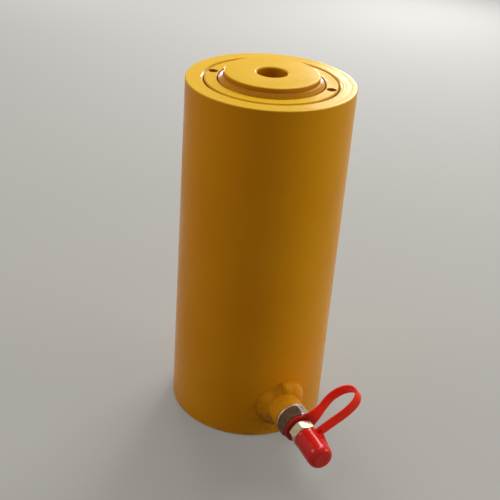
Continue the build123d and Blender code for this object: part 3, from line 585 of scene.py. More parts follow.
@dataclass(frozen=True)
class TurnedMetal:
    """Metal with fine tool marks round its axis, and a film of oil or tarnish."""

    name: str
    axis: Axis
    colour: Colour
    film_colour: Colour
    gloss_low: float = 0.24
    gloss_high: float = 0.42
    marks: float = 2600.0
    mark_depth: float = 0.00001
    grime_and_shade_colour: Colour = (0.10, 0.038, 0.010, 1.0)
    painted_shade_side: float | None = None
    painted_shade_fade: float = 0.0006

    def material(self) -> bpy.types.Material:
        """The metal as a material, with painted reflection where a side is set: faces to its left are darkened,
        as if mirroring dark surroundings.
        """
        recipe = Recipe(self.name)
        film = recipe.ranged(recipe.noise(180, 4), 0.4, 0.72)
        marks = recipe.noise(self.marks, 2, recipe.turned_place(self.axis))
        colour = recipe.mixed(film, self.colour, self.film_colour)
        gloss = recipe.ranged(marks, 0.3, 0.7, self.gloss_low, self.gloss_high)
        if self.painted_shade_side is not None:
            # Painted reflection: faces left of the set side take a dark brown film and lose their metal look,
            # standing in for a dark reflection.
            wander = recipe.ranged(
                recipe.noise(700, 3), 0.3, 0.7, -self.painted_shade_fade / 2, self.painted_shade_fade / 2
            )
            across = recipe.math("ADD", recipe.coordinate("X"), wander)
            left = recipe.ranged(across, self.painted_shade_side, self.painted_shade_side - self.painted_shade_fade)
            shade_breakup = recipe.ranged(recipe.noise(260, 2), 0.3, 0.8, 1.0, 0.82)
            left_shade = recipe.math("MULTIPLY", left, shade_breakup)
            colour = recipe.mixed(left_shade, colour, self.grime_and_shade_colour)
            recipe.set(Metallic=recipe.math("SUBTRACT", 1.0, left_shade))
            gloss = recipe.math("ADD", gloss, recipe.math("MULTIPLY", left_shade, 0.15))
        else:
            recipe.set(Metallic=1.0)
        recipe.set(
            Base_Color=colour, Roughness=gloss, Normal=recipe.bump(marks, self.mark_depth, 0.6)
        )
        return recipe.material


@dataclass(frozen=True)
class SoftCompound:
    """Rubber, polyurethane or plastic of a seal or bearing ring, with a dusty, uneven sheen."""

    name: str
    colour: Colour
    dust_colour: Colour
    gloss_low: float = 0.4
    gloss_high: float = 0.6
    grain: float = 900.0
    grain_depth: float = 0.00002
    specular: float = 0.3
    glow: float = 0.0
    glow_reach: float = 0.003
    ring_shade_colour: Colour | None = None
    ring_shade_reach: tuple[float, float] = (0.019, 0.0125)
    ring_shade_end: float = 0.0

    def material(self) -> bpy.types.Material:
        """The compound as a material; where a ring shade colour is given, the part close to the port's axis,
        short of the cap, is darkened to it as painted shade.
        """
        recipe = Recipe(self.name)
        dust = recipe.ranged(recipe.noise(120, 4), 0.5, 0.8)
        sheen = recipe.noise(70, 2)
        colour = recipe.mixed(dust, self.colour, self.dust_colour)
        if self.ring_shade_colour is not None:
            # Painted shade: close to the port's axis and short of the cap, the ring is darkened.
            place = recipe.node("ShaderNodeSeparateXYZ", {0: recipe.turned_place(Axis.PORT)})
            near = recipe.ranged(place.outputs["X"], *self.ring_shade_reach)
            behind = recipe.ranged(recipe.coordinate("Y"), self.ring_shade_end, self.ring_shade_end + 0.001)
            ring_shade = recipe.math("MULTIPLY", near, behind)
            colour = recipe.mixed(ring_shade, colour, self.ring_shade_colour)
        recipe.set(
            Base_Color=colour,
            Roughness=recipe.ranged(sheen, 0.3, 0.7, self.gloss_low, self.gloss_high),
            Normal=recipe.bump(recipe.noise(self.grain, 2), self.grain_depth, 0.5),
            Specular_IOR_Level=self.specular,
            Subsurface_Weight=self.glow,
            Subsurface_Radius=(1.0, 0.25, 0.1),
            Subsurface_Scale=self.glow_reach,
        )
        return recipe.material


@dataclass(frozen=True)
class Finishes:
    """Every finish that the cylinder wears, made once and shared."""

    paint: bpy.types.Material
    plunger_skin: bpy.types.Material
    steel: bpy.types.Material
    port_steel: bpy.types.Material
    spring_wire: bpy.types.Material
    zinc: bpy.types.Material
    passivated: bpy.types.Material
    washer: bpy.types.Material
    bronze: bpy.types.Material
    polyurethane: bpy.types.Material
    nitrile: bpy.types.Material
    bearing_plastic: bpy.types.Material
    vinyl: bpy.types.Material
    thin_vinyl: bpy.types.Material

    @classmethod
    def mixed_up(cls) -> "Finishes":
        """Makes every finish."""
        paint = EnamelPaint("yellow_enamel")
        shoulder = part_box("plunger")[1].z - 0.0045
        steel, steel_film = (0.42, 0.43, 0.45, 1.0), (0.30, 0.29, 0.27, 1.0)
        return cls(
            paint=paint.material(),
            plunger_skin=PlungerSkin("plunger_plate_and_paint", paint, shoulder).material(),
            steel=TurnedMetal("machined_steel", Axis.PLUNGER, steel, steel_film).material(),
            port_steel=TurnedMetal("machined_port_steel", Axis.PORT, steel, steel_film).material(),
            spring_wire=TurnedMetal(
                "oiled_spring_wire", Axis.PLUNGER, (0.15, 0.15, 0.17, 1.0), (0.08, 0.07, 0.06, 1.0)
            ).material(),
            zinc=TurnedMetal(
                "bright_zinc",
                Axis.PORT,
                (0.66, 0.66, 0.68, 1.0),
                (0.45, 0.41, 0.36, 1.0),
                0.22,
                0.36,
                painted_shade_side=0.0021,
            ).material(),
            passivated=TurnedMetal(
                "passivated_zinc",
                Axis.PORT,
                (0.60, 0.52, 0.36, 1.0),
                (0.46, 0.37, 0.23, 1.0),
                0.24,
                0.36,
            ).material(),
            washer=TurnedMetal(
                "soft_aluminium", Axis.PORT, (0.88, 0.83, 0.74, 1.0), (0.78, 0.70, 0.58, 1.0), 0.4, 0.5
            ).material(),
            bronze=TurnedMetal(
                "bearing_bronze", Axis.PLUNGER, (0.62, 0.38, 0.17, 1.0), (0.45, 0.27, 0.12, 1.0)
            ).material(),
            polyurethane=SoftCompound(
                "blue_polyurethane", (0.03, 0.10, 0.28, 1.0), (0.10, 0.16, 0.30, 1.0)
            ).material(),
            nitrile=SoftCompound(
                "black_nitrile", (0.012, 0.012, 0.013, 1.0), (0.06, 0.055, 0.05, 1.0)
            ).material(),
            bearing_plastic=SoftCompound(
                "bearing_plastic", (0.42, 0.33, 0.22, 1.0), (0.52, 0.45, 0.34, 1.0)
            ).material(),
            vinyl=SoftCompound(
                "red_vinyl",
                (0.68, 0.012, 0.010, 1.0),
                (0.66, 0.030, 0.022, 1.0),
                0.13,
                0.24,
                420.0,
                0.00003,
                glow=0.35,
            ).material(),
            # Painted light: a lighter, more orange copy of the red vinyl for the ring and strap, standing in
            # for light through the thin strap.
            thin_vinyl=SoftCompound(
                "lit_strap_red_vinyl",
                (0.90, 0.040, 0.018, 1.0),
                (0.86, 0.060, 0.030, 1.0),
                0.3,
                0.42,
                420.0,
                0.00003,
                specular=0.12,
                glow=0.5,
                glow_reach=0.006,
                ring_shade_colour=(0.52, 0.022, 0.018, 1.0),
                ring_shade_end=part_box("dust_cap")[1].y,
            ).material(),
        )


def dress(finish: bpy.types.Material, *nodes: str) -> None:
    """Gives CAD nodes a finish.

    Args:
        finish: The material.
        *nodes: The nodes' names.
    """
    for node in nodes:
        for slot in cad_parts[node].material_slots:
            slot.material = finish
        LOG.info("%s wears %s", node, finish.name)


def seat(
    piece: bpy.types.Object, finish: bpy.types.Material, slot: str, body: str, *nodes: str
) -> None:
    """Finishes a rigid piece, hides the nodes that it stands for and fixes it to its body."""
    piece.data.materials.append(finish)
    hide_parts(*nodes)
    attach(piece, body)


# Sub-assemblies


@dataclass
class PressureVessel:
    """Barrel, gland nut and what the gland holds."""

    finishes: Finishes

    def build(self) -> None:
        """Dresses the vessel's nodes."""
        dress(self.finishes.paint, "cylinder_barrel", "gland_nut", "port_boss")
        dress(self.finishes.polyurethane, "rod_wiper")
        dress(self.finishes.bronze, "gland_guide_ring")
        dress(self.finishes.steel, "lower_spring_anchor")


@dataclass
class Plunger:
    """Hollow plunger with a cut thread, its saddle, and the piston on its tail."""

    finishes: Finishes
    tail_radius: float = 0.034
    bore_radius: float = 0.026
    piston_top: float = 0.078
    collar_gap: float = 0.0001
    collar_rise: float = 0.0032
    collar_drop: float = 0.0004
    socket_radius: float = 0.016
    socket_depth: float = 0.009
    groove_bite: float = 0.0014
    groove_depth: float = 0.004
    groove_width: float = 0.002
    thread_radius: float = 0.0111
    thread_length: float = 0.022
    thread_cut: float = 0.0011
    thread_pitch: float = 0.0025
    crown_thickness: float = 0.008
    saddle_hole_radius: float = 0.01135
    saddle_hole_chamfer: float = 0.001
    saddle_edge_chamfer: float = 0.0007
    edge_cut: float = 0.0007
    segments: int = 144

    def rod_shape(self) -> tuple[np.ndarray, np.ndarray]:
        """Turned rod, its shoulder sloping up to the saddle's wall.

        The thread is r = minor + cut times a triangle wave of z/pitch - a/turn.
        """
        low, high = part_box("plunger")
        top, radius = high.z, high.x
        nut_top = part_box("gland_nut")[1].z
        seat_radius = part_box("saddle")[1].x + self.collar_gap
        thread_top = top - self.socket_depth
        thread_low = thread_top - self.thread_length
        cavity_top = thread_low - self.crown_thickness
        groove_top = top - self.groove_depth
        groove_low = groove_top - self.groove_width
        groove = self.socket_radius + self.groove_bite
        outer = np.array(
            [
                (0.0, cavity_top),
                (self.bore_radius, cavity_top),
                (self.bore_radius, low.z),
                (self.tail_radius, low.z),
                (self.tail_radius, self.piston_top),
                (radius, self.piston_top),
                (radius, nut_top - self.collar_drop),
                (seat_radius, nut_top + self.collar_rise),
                (seat_radius, top),
                (self.socket_radius, top),
                (self.socket_radius, groove_top),
                (groove, groove_top),
                (groove, groove_low),
                (self.socket_radius, groove_low),
                (self.socket_radius, thread_top),
                (self.thread_radius, thread_top),
            ]
        )
        outer = soften(outer, self.edge_cut, 5, closed=False)
        rows = np.linspace(thread_top, thread_low, 81)[1:]
        floor = np.array([(self.thread_radius, thread_low), (0.0, thread_low)])
        radii = np.concatenate([outer[:, 0], np.full(len(rows), self.thread_radius), floor[:, 0]])
        heights = np.concatenate([outer[:, 1], rows, floor[:, 1]])
        turn = np.arange(self.segments) / self.segments
        phase = heights[:, None] / self.thread_pitch - turn
        wave = 1 - np.abs(2 * (phase % 1) - 1)
        into = np.minimum(thread_top - heights, heights - thread_low) / self.thread_pitch
        cut = self.thread_cut * np.clip(into, 0, 1)[:, None] * wave
        cut *= (np.arange(len(heights)) >= len(outer))[:, None]
        return lathe(radii[:, None] + cut, heights, self.segments, closed=False)

    def saddle_shape(self) -> tuple[np.ndarray, np.ndarray]:
        """Turned saddle: plate, spigot, snap ring groove and chamfered hole."""
        low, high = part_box("saddle")
        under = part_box("plunger")[1].z
        groove_top = under - self.groove_depth
        groove_low = groove_top - self.groove_width
        groove = self.socket_radius - self.groove_bite
        outline = np.array(
            [
                (self.saddle_hole_radius, low.z),
                (self.socket_radius, low.z),
                (self.socket_radius, groove_low),
                (groove, groove_low),
                (groove, groove_top),
                (self.socket_radius, groove_top),
                (self.socket_radius, under),
                (high.x, under),
                (high.x, high.z - self.saddle_edge_chamfer),
                (high.x - self.saddle_edge_chamfer, high.z),
                (self.saddle_hole_radius + self.saddle_hole_chamfer, high.z),
                (self.saddle_hole_radius, high.z - self.saddle_hole_chamfer),
            ]
        )
        outline = soften(outline, self.edge_cut / 2, 5)
        return lathe(outline[:, :1], outline[:, 1], self.segments, closed=True)

    def build(self) -> None:
        """Makes the rod and the saddle, and dresses the piston's nodes."""
        rod = make_piece("plunger_rod", self.rod_shape())
        seat(rod, self.finishes.plunger_skin, "plated_plunger", "plunger", "plunger")
        saddle = make_piece("load_saddle", self.saddle_shape())
        seat(saddle, self.finishes.paint, "yellow_paint", "plunger", "saddle")
        dress(self.finishes.steel, "piston", "piston_lock_nut", "upper_spring_anchor")
        dress(self.finishes.spring_wire, "saddle_retaining_ring")
        dress(self.finishes.nitrile, "piston_static_seal")
        dress(self.finishes.polyurethane, "piston_cup_seal")
        dress(self.finishes.bearing_plastic, "piston_backup_ring", "piston_wear_ring")


@dataclass
class ReturnSpring:
    """Tension spring from the barrel's floor to the top of the plunger's bore."""

    finishes: Finishes
    wire_radius: float = 0.00325
    turns: float = 20.0
    end_turns: float = 1.5
    points_per_turn: int = 28
    sides: int = 12

    def build(self) -> None:
        """Coils the wire, closer at its ends, over the spring's length."""
        low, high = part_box("return_spring")
        coil_radius = high.x - self.wire_radius
        start, end = low.z + self.wire_radius, high.z - self.wire_radius
        turn = np.linspace(0, self.turns, int(self.turns * self.points_per_turn) + 1)
        close = self.end_turns * 2 * self.wire_radius
        height = np.interp(
            turn,
            [0, self.end_turns, self.turns - self.end_turns, self.turns],
            [start, start + close, end - close, end],
        )
        path = np.stack(
            [coil_radius * np.cos(turn * TURN), coil_radius * np.sin(turn * TURN), height], axis=-1
        )
        spring = make_piece("coiled_return_spring", tube_along(path, self.wire_radius, self.sides))
        spring.data.materials.append(self.finishes.spring_wire)
        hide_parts("return_spring")
        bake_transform(spring)


@dataclass
class WeldBead:
    """Hand-laid fillet weld round the boss's root, with ripples, a blob and spatter."""

    finishes: Finishes
    boss_radius: float = 0.0133
    leg: float = 0.0066
    sink: float = 0.0009
    ripples: int = 46
    ripple_height: float = 0.0003
    lump_start_deg: float = -10.0
    lump_end_deg: float = 97.0
    lump_fade_deg: float = 22.0
    lump_stop_deg: float = 6.0
    lump_size: float = 0.0012
    thin_deg: float = 122.0
    thin_width_deg: float = 24.0
    thin_cut: float = 0.0032
    hot_bulge: float = 0.85
    cold_bulge: float = -0.12
    segments: int = 368
    steps: int = 22
    drops: int = 34
    drop_radius: float = 0.00055
    seed: int = 7

    def bead_shape(self) -> tuple[np.ndarray, np.ndarray]:
        """Bead on the curved joint.

        The last pass ends in a lump over the port, from lump_start round to lump_end. Across the
        bead, radius and rise run from the toe on the barrel to the toe on the boss: a straight
        slope where the bead went on cold and a round one at the lump, with crescent ripples
        standing out along that section's normal.
        """
        barrel_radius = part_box("cylinder_barrel")[1].x
        angle = (np.arange(self.segments) / self.segments * TURN)[:, None]
        across = np.linspace(0, np.pi / 2, self.steps)[None, :]
        bearing = np.degrees(np.angle(np.exp(1j * angle)))
        lump = 0.25 * (1 + np.tanh((self.lump_end_deg - bearing) / self.lump_stop_deg))
        lump = lump * (1 + np.tanh((bearing - self.lump_start_deg) / self.lump_fade_deg))
        wander = 1 + 0.05 * np.sin(3 * angle + 0.6) + 0.04 * np.sin(7 * angle + 2.1)
        thin = np.exp(-(((bearing - self.thin_deg) / self.thin_width_deg) ** 2))
        leg = self.leg * wander + self.lump_size * lump - self.thin_cut * thin
        straight = across / (np.pi / 2)
        bulge = self.hot_bulge * lump + self.cold_bulge * (1 - lump)
        share_out = bulge * np.cos(across) + (1 - bulge) * (1 - straight)
        share_up = bulge * np.sin(across) + (1 - bulge) * straight
        crescent = self.ripples * angle + 2.2 * (2 * straight - 1) ** 2 + 2.4 * np.sin(4 * angle)
        ripple = self.ripple_height * (0.2 + 0.8 * lump) * np.abs(np.cos(crescent / 2))
        ripple = ripple * np.abs(np.sin(2 * across)) ** 0.5
        lumps = 0.0006 * np.sin(5 * angle - 0.9) * np.sin(3 * across + 4 * angle)
        lumps = (lumps + 0.0002 * np.sin(31 * angle) * np.sin(14 * across + 0.8)) * lump
        stand = ripple + (lumps + 0.5 * self.lump_size * lump) * np.sin(2 * across)
        radius = self.boss_radius + leg * share_out + stand * np.cos(across)
        rise = leg * share_up + stand * np.sin(across)
        inner = np.full_like(angle, self.boss_radius - self.sink)
        radius = np.hstack([radius[:, :1], radius, inner, inner])
        rise = np.hstack([np.full_like(angle, -self.sink), rise, rise[:, -1:], np.full_like(angle, -self.sink)])
        x, y = radius * np.cos(angle), radius * np.sin(angle)
        out = np.sqrt(barrel_radius**2 - x**2) + rise
        points = np.stack([x, y, out], axis=-1).reshape(-1, 3)
        return on_port(points), grid_quads(self.segments, radius.shape[1], True, True)

    def spatter_shape(self) -> tuple[np.ndarray, np.ndarray]:
        """Flattened balls half sunk in the barrel, strewn round the bead."""
        barrel_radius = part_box("cylinder_barrel")[1].x
        chance = np.random.default_rng(self.seed)
        bearing = chance.uniform(0, TURN, self.drops)
        reach = self.boss_radius + self.leg + chance.gamma(1.6, 0.0035, self.drops)
        size = self.drop_radius * chance.uniform(0.5, 1.3, self.drops)
        x, y = reach * np.cos(bearing), reach * np.sin(bearing)
        y = np.clip(y, 0.002 - PORT_HEIGHT, None)
        outward = np.stack([x, 0 * x, np.sqrt(barrel_radius**2 - x**2)], axis=-1) / barrel_radius
        centre = outward * barrel_radius + np.stack([0 * y, y, 0 * y], axis=-1)
        sideways = np.stack([outward[:, 2], 0 * x, -outward[:, 0]], axis=-1)
        upward = np.broadcast_to([0.0, 1.0, 0.0], outward.shape)
        polar = np.linspace(0, np.pi, 7)[None, :, None, None]
        round_angle = (np.arange(10) / 10 * TURN)[None, None, :, None]
        ball = (
            0.6 * np.cos(polar) * outward[:, None, None]
            + np.sin(polar) * np.cos(round_angle) * sideways[:, None, None]
            + np.sin(polar) * np.sin(round_angle) * upward[:, None, None]
        )
        points = centre[:, None, None] + size[:, None, None, None] * ball
        quads = grid_quads(7, 10, False, True)
        starts = np.arange(self.drops)[:, None, None] * 70
        return on_port(points.reshape(-1, 3)), (quads[None] + starts).reshape(-1, 4)

    def build(self) -> None:
        """Makes the bead with its spatter."""
        bead = make_piece("weld_bead_and_spatter", joined(self.bead_shape(), self.spatter_shape()), 60.0)
        seat(bead, self.finishes.paint, "yellow_paint", "cylinder", "weld_bead")


@dataclass
class Coupler:
    """Adapter, coupler half and the check valve inside it."""

    finishes: Finishes
    wire_radius: float = 0.00045
    turns: float = 5.0

    def build(self) -> None:
        """Dresses the coupler's nodes and coils the poppet's spring."""
        dress(self.finishes.zinc, "coupler_adapter")
        dress(self.finishes.passivated, "coupler_body")
        dress(self.finishes.washer, "port_sealing_washer")
        dress(self.finishes.nitrile, "coupler_seal", "poppet_seal")
        dress(self.finishes.port_steel, "poppet_guide_plate", "check_poppet")
        dress(self.finishes.spring_wire, "poppet_clip")
        low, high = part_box("poppet_spring")
        coil_radius = high.x - self.wire_radius
        start, end = -high.y + self.wire_radius, -low.y - self.wire_radius
        turn = np.linspace(0, self.turns, int(self.turns * 24) + 1)
        height = start + (end - start) * turn / self.turns
        path = np.stack(
            [coil_radius * np.cos(turn * TURN), coil_radius * np.sin(turn * TURN), height], axis=-1
        )
        points, quads = tube_along(path, self.wire_radius, 10)
        spring = make_piece("coiled_poppet_spring", (on_port(points), quads))
        spring.data.materials.append(self.finishes.spring_wire)
        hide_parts("poppet_spring")
        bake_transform(spring)


@dataclass
class DustCap:
    """Red moulding: a ring on the coupler's neck, a looped strap and a cap on the nose."""

    finishes: Finishes
    strap_deg: float = 35.0
    neck_hole_radius: float = 0.0083
    ring_radius: float = 0.0122
    ring_thickness: float = 0.0025
    strap_width: float = 0.0092
    strap_thickness: float = 0.002
    strap_reach: float = 0.0543
    back_swing: float = 0.0047
    out_run: tuple[tuple[float, float], ...] = (
        (0.46, 0.48), (0.6, 1.0), (0.755, 0.95), (0.913, 0.15)
    )
    home_run: tuple[tuple[float, float], ...] = ((0.9, 0.1), (0.685, 1.05), (0.444, 0.55))
    root_start: float = 0.009
    root_bend: float = 0.0165
    root_end: float = 0.026
    root_width: float = 0.0168
    cap_base_radius: float = 0.0097
    cap_end_radius: float = 0.0101
    cap_wall: float = 0.0014
    cap_end_thickness: float = 0.0025
    cap_dome: float = 0.0072
    lug_setback: float = 0.0035
    rib_root: float = 0.0112
    rib_length: float = 0.0178
    rib_width: float = 0.0028
    voxel: float = 0.0003
    smoothing_room: float = 0.00002

    def ring_station(self) -> float:
        """Distance of the ring's middle from the plunger's axis."""
        return -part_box("dust_cap_ring")[1].y + self.ring_thickness / 2

    def lug_station(self) -> float:
        """Distance of the strap's far end from the plunger's axis."""
        return -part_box("dust_cap")[1].y + self.lug_setback

    def ring_shape(self) -> tuple[np.ndarray, np.ndarray]:
        """Turned ring with a rounded section."""
        start = self.ring_station() - self.ring_thickness / 2
        end = start + self.ring_thickness
        outline = np.array(
            [
                (self.neck_hole_radius, start),
                (self.ring_radius, start),
                (self.ring_radius, end),
                (self.neck_hole_radius, end),
            ]
        )
        outline = soften(outline, 0.0009, 6)
        return lathe(outline[:, :1], outline[:, 1], 120, closed=True)

    def strap_shape(self) -> tuple[np.ndarray, np.ndarray]:
        """Flat band along a loop, with parabolic arcs from mid run to mid run.

        Its width falls from the flared root to the strap's own: w + (root - w) f^1.4, where f
        falls from 1 to 0 with the distance travelled. The far end follows the cap's round wall.
        """
        out, home = self.ring_station(), self.lug_station()
        corners = [(self.root_start, out), (self.root_bend, out)]
        corners += [(a * self.strap_reach, out - b * self.back_swing) for a, b in self.out_run]
        corners += [(self.strap_reach, (out + home) / 2)]
        corners += [(a * self.strap_reach, home + b * self.strap_thickness) for a, b in self.home_run]
        wall = self.cap_base_radius - self.cap_wall / 2
        corners += [(wall, home)]
        path = soften(np.array(corners), 1.0, 14, closed=False)
        along = np.gradient(path, axis=0)
        along /= np.linalg.norm(along, axis=1, keepdims=True)
        normal = np.stack([-along[:, 1], along[:, 0]], axis=-1)
        section = rounded_slab(self.strap_thickness / 2, self.strap_width / 2, 0.0008)
        run = np.linalg.norm(np.diff(path, axis=0), axis=1)
        travelled = np.concatenate([[0], np.cumsum(run)])
        flare = np.clip(1 - travelled / (self.root_end - self.root_start), 0, 1) ** 1.4
        widening = 1 + (self.root_width / self.strap_width - 1) * flare
        path, normal, widening = (
            np.concatenate([row[:1], row, row[-1:]]) for row in (path, normal, widening)
        )
        end_scale = np.ones(len(path))
        end_scale[[0, -1]] = 0.0
        offset = path[:, None] + normal[:, None] * (section[:, :1] * end_scale[:, None, None])
        sideways = section[:, 1] * (widening * end_scale)[:, None]
        offset[-2, :, 0] = np.sqrt(wall**2 - sideways[-2] ** 2)
        points = np.stack([offset[..., 0], sideways, offset[..., 1]], axis=-1)
        return points.reshape(-1, 3), grid_quads(len(path), len(section), False, True)

    def cup_shape(self) -> tuple[np.ndarray, np.ndarray]:
        """Turned cup: beaded mouth, tapering wall and domed end."""
        low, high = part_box("dust_cap")
        start, end = -high.y, -low.y - self.smoothing_room
        inner = self.cap_base_radius - self.cap_wall
        bead = self.cap_base_radius + 0.0002
        outline = np.array(
            [
                (0.0, end - self.cap_end_thickness),
                (inner, end - self.cap_end_thickness),
                (inner, start),
                (bead, start),
                (bead, start + 0.0016),
                (self.cap_base_radius, start + 0.0021),
                (self.cap_end_radius, end),
                (0.0, end),
            ]
        )
        outline = soften(outline, self.cap_dome, 12, closed=False)
        return lathe(outline[:, :1], outline[:, 1], 120, closed=False)

    def gusset_shape(self) -> tuple[np.ndarray, np.ndarray]:
        """Rib under the strap's far end, thinning as it sinks into the cap's wall."""
        station = self.lug_station()
        wall = self.cap_base_radius - self.cap_wall / 2
        start, end = (self.rib_root, station), (wall, station + self.rib_length)
        return self.slab(start, end, self.rib_width / 2, 0.0023, 0.4)

    def slab(
        self,
        start: tuple[float, float],
        end: tuple[float, float],
        half_width: float,
        half_thickness: float,
        end_share: float,
    ) -> tuple[np.ndarray, np.ndarray]:
        """A rounded bar between two points of the strap's plane.

        Args:
            start: Reach and station of one end.
            end: Reach and station of the other.
            half_width: Half its width across the plane.
            half_thickness: Half its thickness in the plane, at the start.
            end_share: Share of that thickness left at the end.

        Returns:
            Points and quads.
        """
        share = np.array([0, 0, 0.25, 0.5, 0.75, 1, 1])
        scale = np.array([0, 1, 1, 1, 1, 1, 0])
        line = np.array(start) + share[:, None] * (np.array(end) - np.array(start))
        along = (np.array(end) - np.array(start)) / np.linalg.norm(np.array(end) - np.array(start))
        normal = np.array([-along[1], along[0]])
        section = rounded_slab(half_thickness, half_width, 0.0006)
        thickness = scale * (1 + share * (end_share - 1))
        offset = line[:, None] + normal * (section[:, :1] * thickness[:, None, None])
        sideways = section[:, 1] * scale[:, None]
        points = np.stack([offset[..., 0], sideways, offset[..., 1]], axis=-1)
        return points.reshape(-1, 3), grid_quads(len(line), len(section), False, True)

    def build(self) -> None:
        """Makes the ring with its strap, and the cap."""
        ring_points, ring_quads = joined(self.ring_shape(), self.strap_shape())
        leash = make_piece("cap_ring_and_strap", (on_port(ring_points, self.strap_deg), ring_quads))
        fuse(leash, self.voxel, 6)
        leash.data.materials.append(self.finishes.thin_vinyl)
        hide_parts("dust_cap_ring", "dust_cap_strap")
        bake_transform(leash)
        cup_points, cup_quads = joined(self.cup_shape(), self.gusset_shape())
        cap = make_piece("nose_cap", (on_port(cup_points, self.strap_deg), cup_quads))
        fuse(cap, self.voxel, 6)
        seat(cap, self.finishes.vinyl, "red_vinyl", "dust_cap", "dust_cap")


# Studio


@dataclass(frozen=True)
class SoftLamp:
    """A square area lamp that looks at the cylinder, placed by bearing from the camera's way."""

    name: str
    bearing_deg: float
    elevation_deg: float
    distance: float
    size: float
    watts: float
    colour: tuple[float, float, float] = (1.0, 1.0, 1.0)

    def build(self, heading_deg: float, target: Vector) -> None:
        """Hangs the lamp.

        Args:
            heading_deg: The camera's heading, counted anticlockwise from +Y.
            target: The point that it looks at.
        """
        bearing = np.radians(heading_deg - self.bearing_deg)
        elevation = np.radians(self.elevation_deg)
        towards = Vector(
            (
                -np.sin(bearing) * np.cos(elevation),
                np.cos(bearing) * np.cos(elevation),
                np.sin(elevation),
            )
        )
        data = bpy.data.lights.new(self.name, "AREA")
        data.shape = "SQUARE"
        data.size = self.size
        data.energy = self.watts
        data.color = self.colour
        lamp = bpy.data.objects.new(self.name, data)
        lamp.location = target + towards * self.distance
        lamp.rotation_euler = towards.to_track_quat("Z", "Y").to_euler()
        bpy.context.scene.collection.objects.link(lamp)


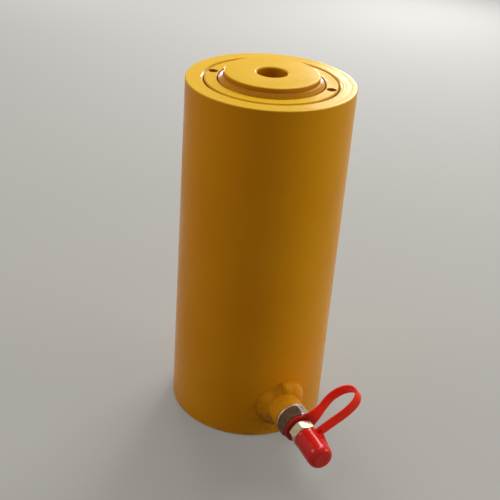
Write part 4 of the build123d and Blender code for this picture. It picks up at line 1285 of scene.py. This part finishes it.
@dataclass
class Studio:
    """Pale floor, soft lamps, a plain world and the camera at the photograph's angle."""

    camera_azimuth_deg: float = -26.8
    camera_distance: float = 0.6780
    camera_height: float = 0.5139
    camera_heading_deg: float = -26.29
    camera_pitch_deg: float = 28.97
    camera_roll_deg: float = 4.51
    lens_mm: float = 69.27
    sensor_mm: float = 36.0
    floor_half: float = 6.0
    pale: Colour = (0.44, 0.436, 0.424, 1.0)
    floor_pale: Colour = (0.21, 0.208, 0.203, 1.0)
    near_lift: float = 0.16
    far_lift: float = 0.3
    lift_start: float = 0.4
    lift_end: float = 2.2
    floor_bounce: Colour = (0.20, 0.14, 0.09, 1.0)
    sky: Colour = (1.0, 0.84, 0.68, 1.0)
    sky_level: float = 0.3
    lamps: tuple[SoftLamp, ...] = (
        SoftLamp("far_high_panel", 2, 64, 1.3, 0.75, 9.0, (1.0, 0.99, 0.93)),
        SoftLamp("far_right_window", 22, 40, 1.3, 0.6, 8.0),
        SoftLamp("low_right_window", 13, 12, 1.6, 0.3, 12.0),
        SoftLamp("low_left_window", -19, 8, 1.6, 0.25, 3.6),
        SoftLamp("right_edge_panel", 92, 18, 1.0, 0.5, 3.4, (0.97, 1.0, 0.78)),
        SoftLamp("left_edge_panel", -95, 30, 1.0, 0.35, 1.9, (1.0, 0.86, 0.74)),
    )

    def seen_share(self, recipe_tree: bpy.types.NodeTree) -> Socket:
        """1 for rays from the camera, off gloss and through glass, and 0 for scattered light."""
        path = recipe_tree.nodes.new("ShaderNodeLightPath")
        share = path.outputs["Is Camera Ray"]
        for name in ("Is Glossy Ray", "Is Transmission Ray"):
            either = recipe_tree.nodes.new("ShaderNodeMath")
            either.operation = "MAXIMUM"
            recipe_tree.links.new(share, either.inputs[0])
            recipe_tree.links.new(path.outputs[name], either.inputs[1])
            share = either.outputs[0]
        return share

    def lay_floor(self) -> None:
        """Lays a pale floor that fades into the world and throws a little warm light back up."""
        half = self.floor_half
        corners = np.array([(-half, -half, 0), (half, -half, 0), (half, half, 0), (-half, half, 0)])
        floor = make_piece("studio_floor", (corners, np.array([[0, 1, 2, 3]])))
        material = bpy.data.materials.new("studio_floor")
        material.use_nodes = True
        tree = material.node_tree
        shader = tree.nodes["Principled BSDF"]
        shader.inputs["Roughness"].default_value = 0.9
        shader.inputs["Specular IOR Level"].default_value = 0.0
        mix = tree.nodes.new("ShaderNodeMix")
        mix.data_type = "RGBA"
        mix.inputs[6].default_value = self.floor_bounce
        mix.inputs[7].default_value = self.floor_pale
        tree.links.new(self.seen_share(tree), mix.inputs[0])
        tree.links.new(mix.outputs[2], shader.inputs["Base Color"])
        shader.inputs["Emission Color"].default_value = self.pale
        place = tree.nodes.new("ShaderNodeTexCoord")
        reach = tree.nodes.new("ShaderNodeVectorMath")
        reach.operation = "LENGTH"
        tree.links.new(place.outputs["Object"], reach.inputs[0])
        lift = tree.nodes.new("ShaderNodeMapRange")
        lift.inputs["From Min"].default_value = self.lift_start
        lift.inputs["From Max"].default_value = self.lift_end
        lift.inputs["To Min"].default_value = self.near_lift / self.pale[0]
        lift.inputs["To Max"].default_value = self.far_lift / self.pale[0]
        tree.links.new(reach.outputs["Value"], lift.inputs["Value"])
        shown = tree.nodes.new("ShaderNodeMath")
        shown.operation = "MULTIPLY"
        tree.links.new(lift.outputs["Result"], shown.inputs[0])
        tree.links.new(self.seen_share(tree), shown.inputs[1])
        tree.links.new(shown.outputs[0], shader.inputs["Emission Strength"])
        floor.data.materials.append(material)

    def light_world(self) -> None:
        """Lights the world evenly, and shows it pale."""
        world = bpy.data.worlds.new("studio_world")
        world.use_nodes = True
        tree = world.node_tree
        background = tree.nodes["Background"]
        seen = self.seen_share(tree)
        colour = tree.nodes.new("ShaderNodeMix")
        colour.data_type = "RGBA"
        colour.inputs[6].default_value = self.sky
        colour.inputs[7].default_value = self.pale
        tree.links.new(seen, colour.inputs[0])
        tree.links.new(colour.outputs[2], background.inputs["Color"])
        level = tree.nodes.new("ShaderNodeMapRange")
        level.inputs["To Min"].default_value = self.sky_level
        level.inputs["To Max"].default_value = 1.0
        tree.links.new(seen, level.inputs["Value"])
        tree.links.new(level.outputs["Result"], background.inputs["Strength"])
        bpy.context.scene.world = world

    def set_camera(self) -> None:
        """Sets the camera up by its place, heading, pitch and roll."""
        azimuth = np.radians(self.camera_azimuth_deg)
        data = bpy.data.cameras.new("photo_camera")
        data.sensor_width = self.sensor_mm
        data.lens = self.lens_mm
        data.clip_end = 50.0
        camera = bpy.data.objects.new("photo_camera", data)
        place = Matrix.Translation(
            (
                np.sin(azimuth) * self.camera_distance,
                -np.cos(azimuth) * self.camera_distance,
                self.camera_height,
            )
        )
        heading = Matrix.Rotation(np.radians(self.camera_heading_deg), 4, "Z")
        pitch = Matrix.Rotation(np.radians(90 - self.camera_pitch_deg), 4, "X")
        roll = Matrix.Rotation(np.radians(self.camera_roll_deg), 4, "Z")
        camera.matrix_world = place @ heading @ pitch @ roll
        bpy.context.scene.collection.objects.link(camera)
        bpy.context.scene.camera = camera

    def build(self) -> None:
        """Builds the studio."""
        self.lay_floor()
        self.light_world()
        target = Vector((0.0, 0.0, 0.16))
        for lamp in self.lamps:
            lamp.build(self.camera_azimuth_deg, target)
        self.set_camera()
        bpy.context.scene.view_settings.view_transform = "Standard"


def main() -> None:
    """Dresses the cylinder, one sub-assembly after another, and sets up the studio."""
    logging.basicConfig(level=logging.INFO, format="%(name)s: %(message)s")
    finishes = Finishes.mixed_up()
    for part in (PressureVessel, Plunger, ReturnSpring, WeldBead, Coupler, DustCap):
        part(finishes).build()
        LOG.info("%s done", part.__name__)
    Studio().build()


if __name__ == "__main__":
    main()
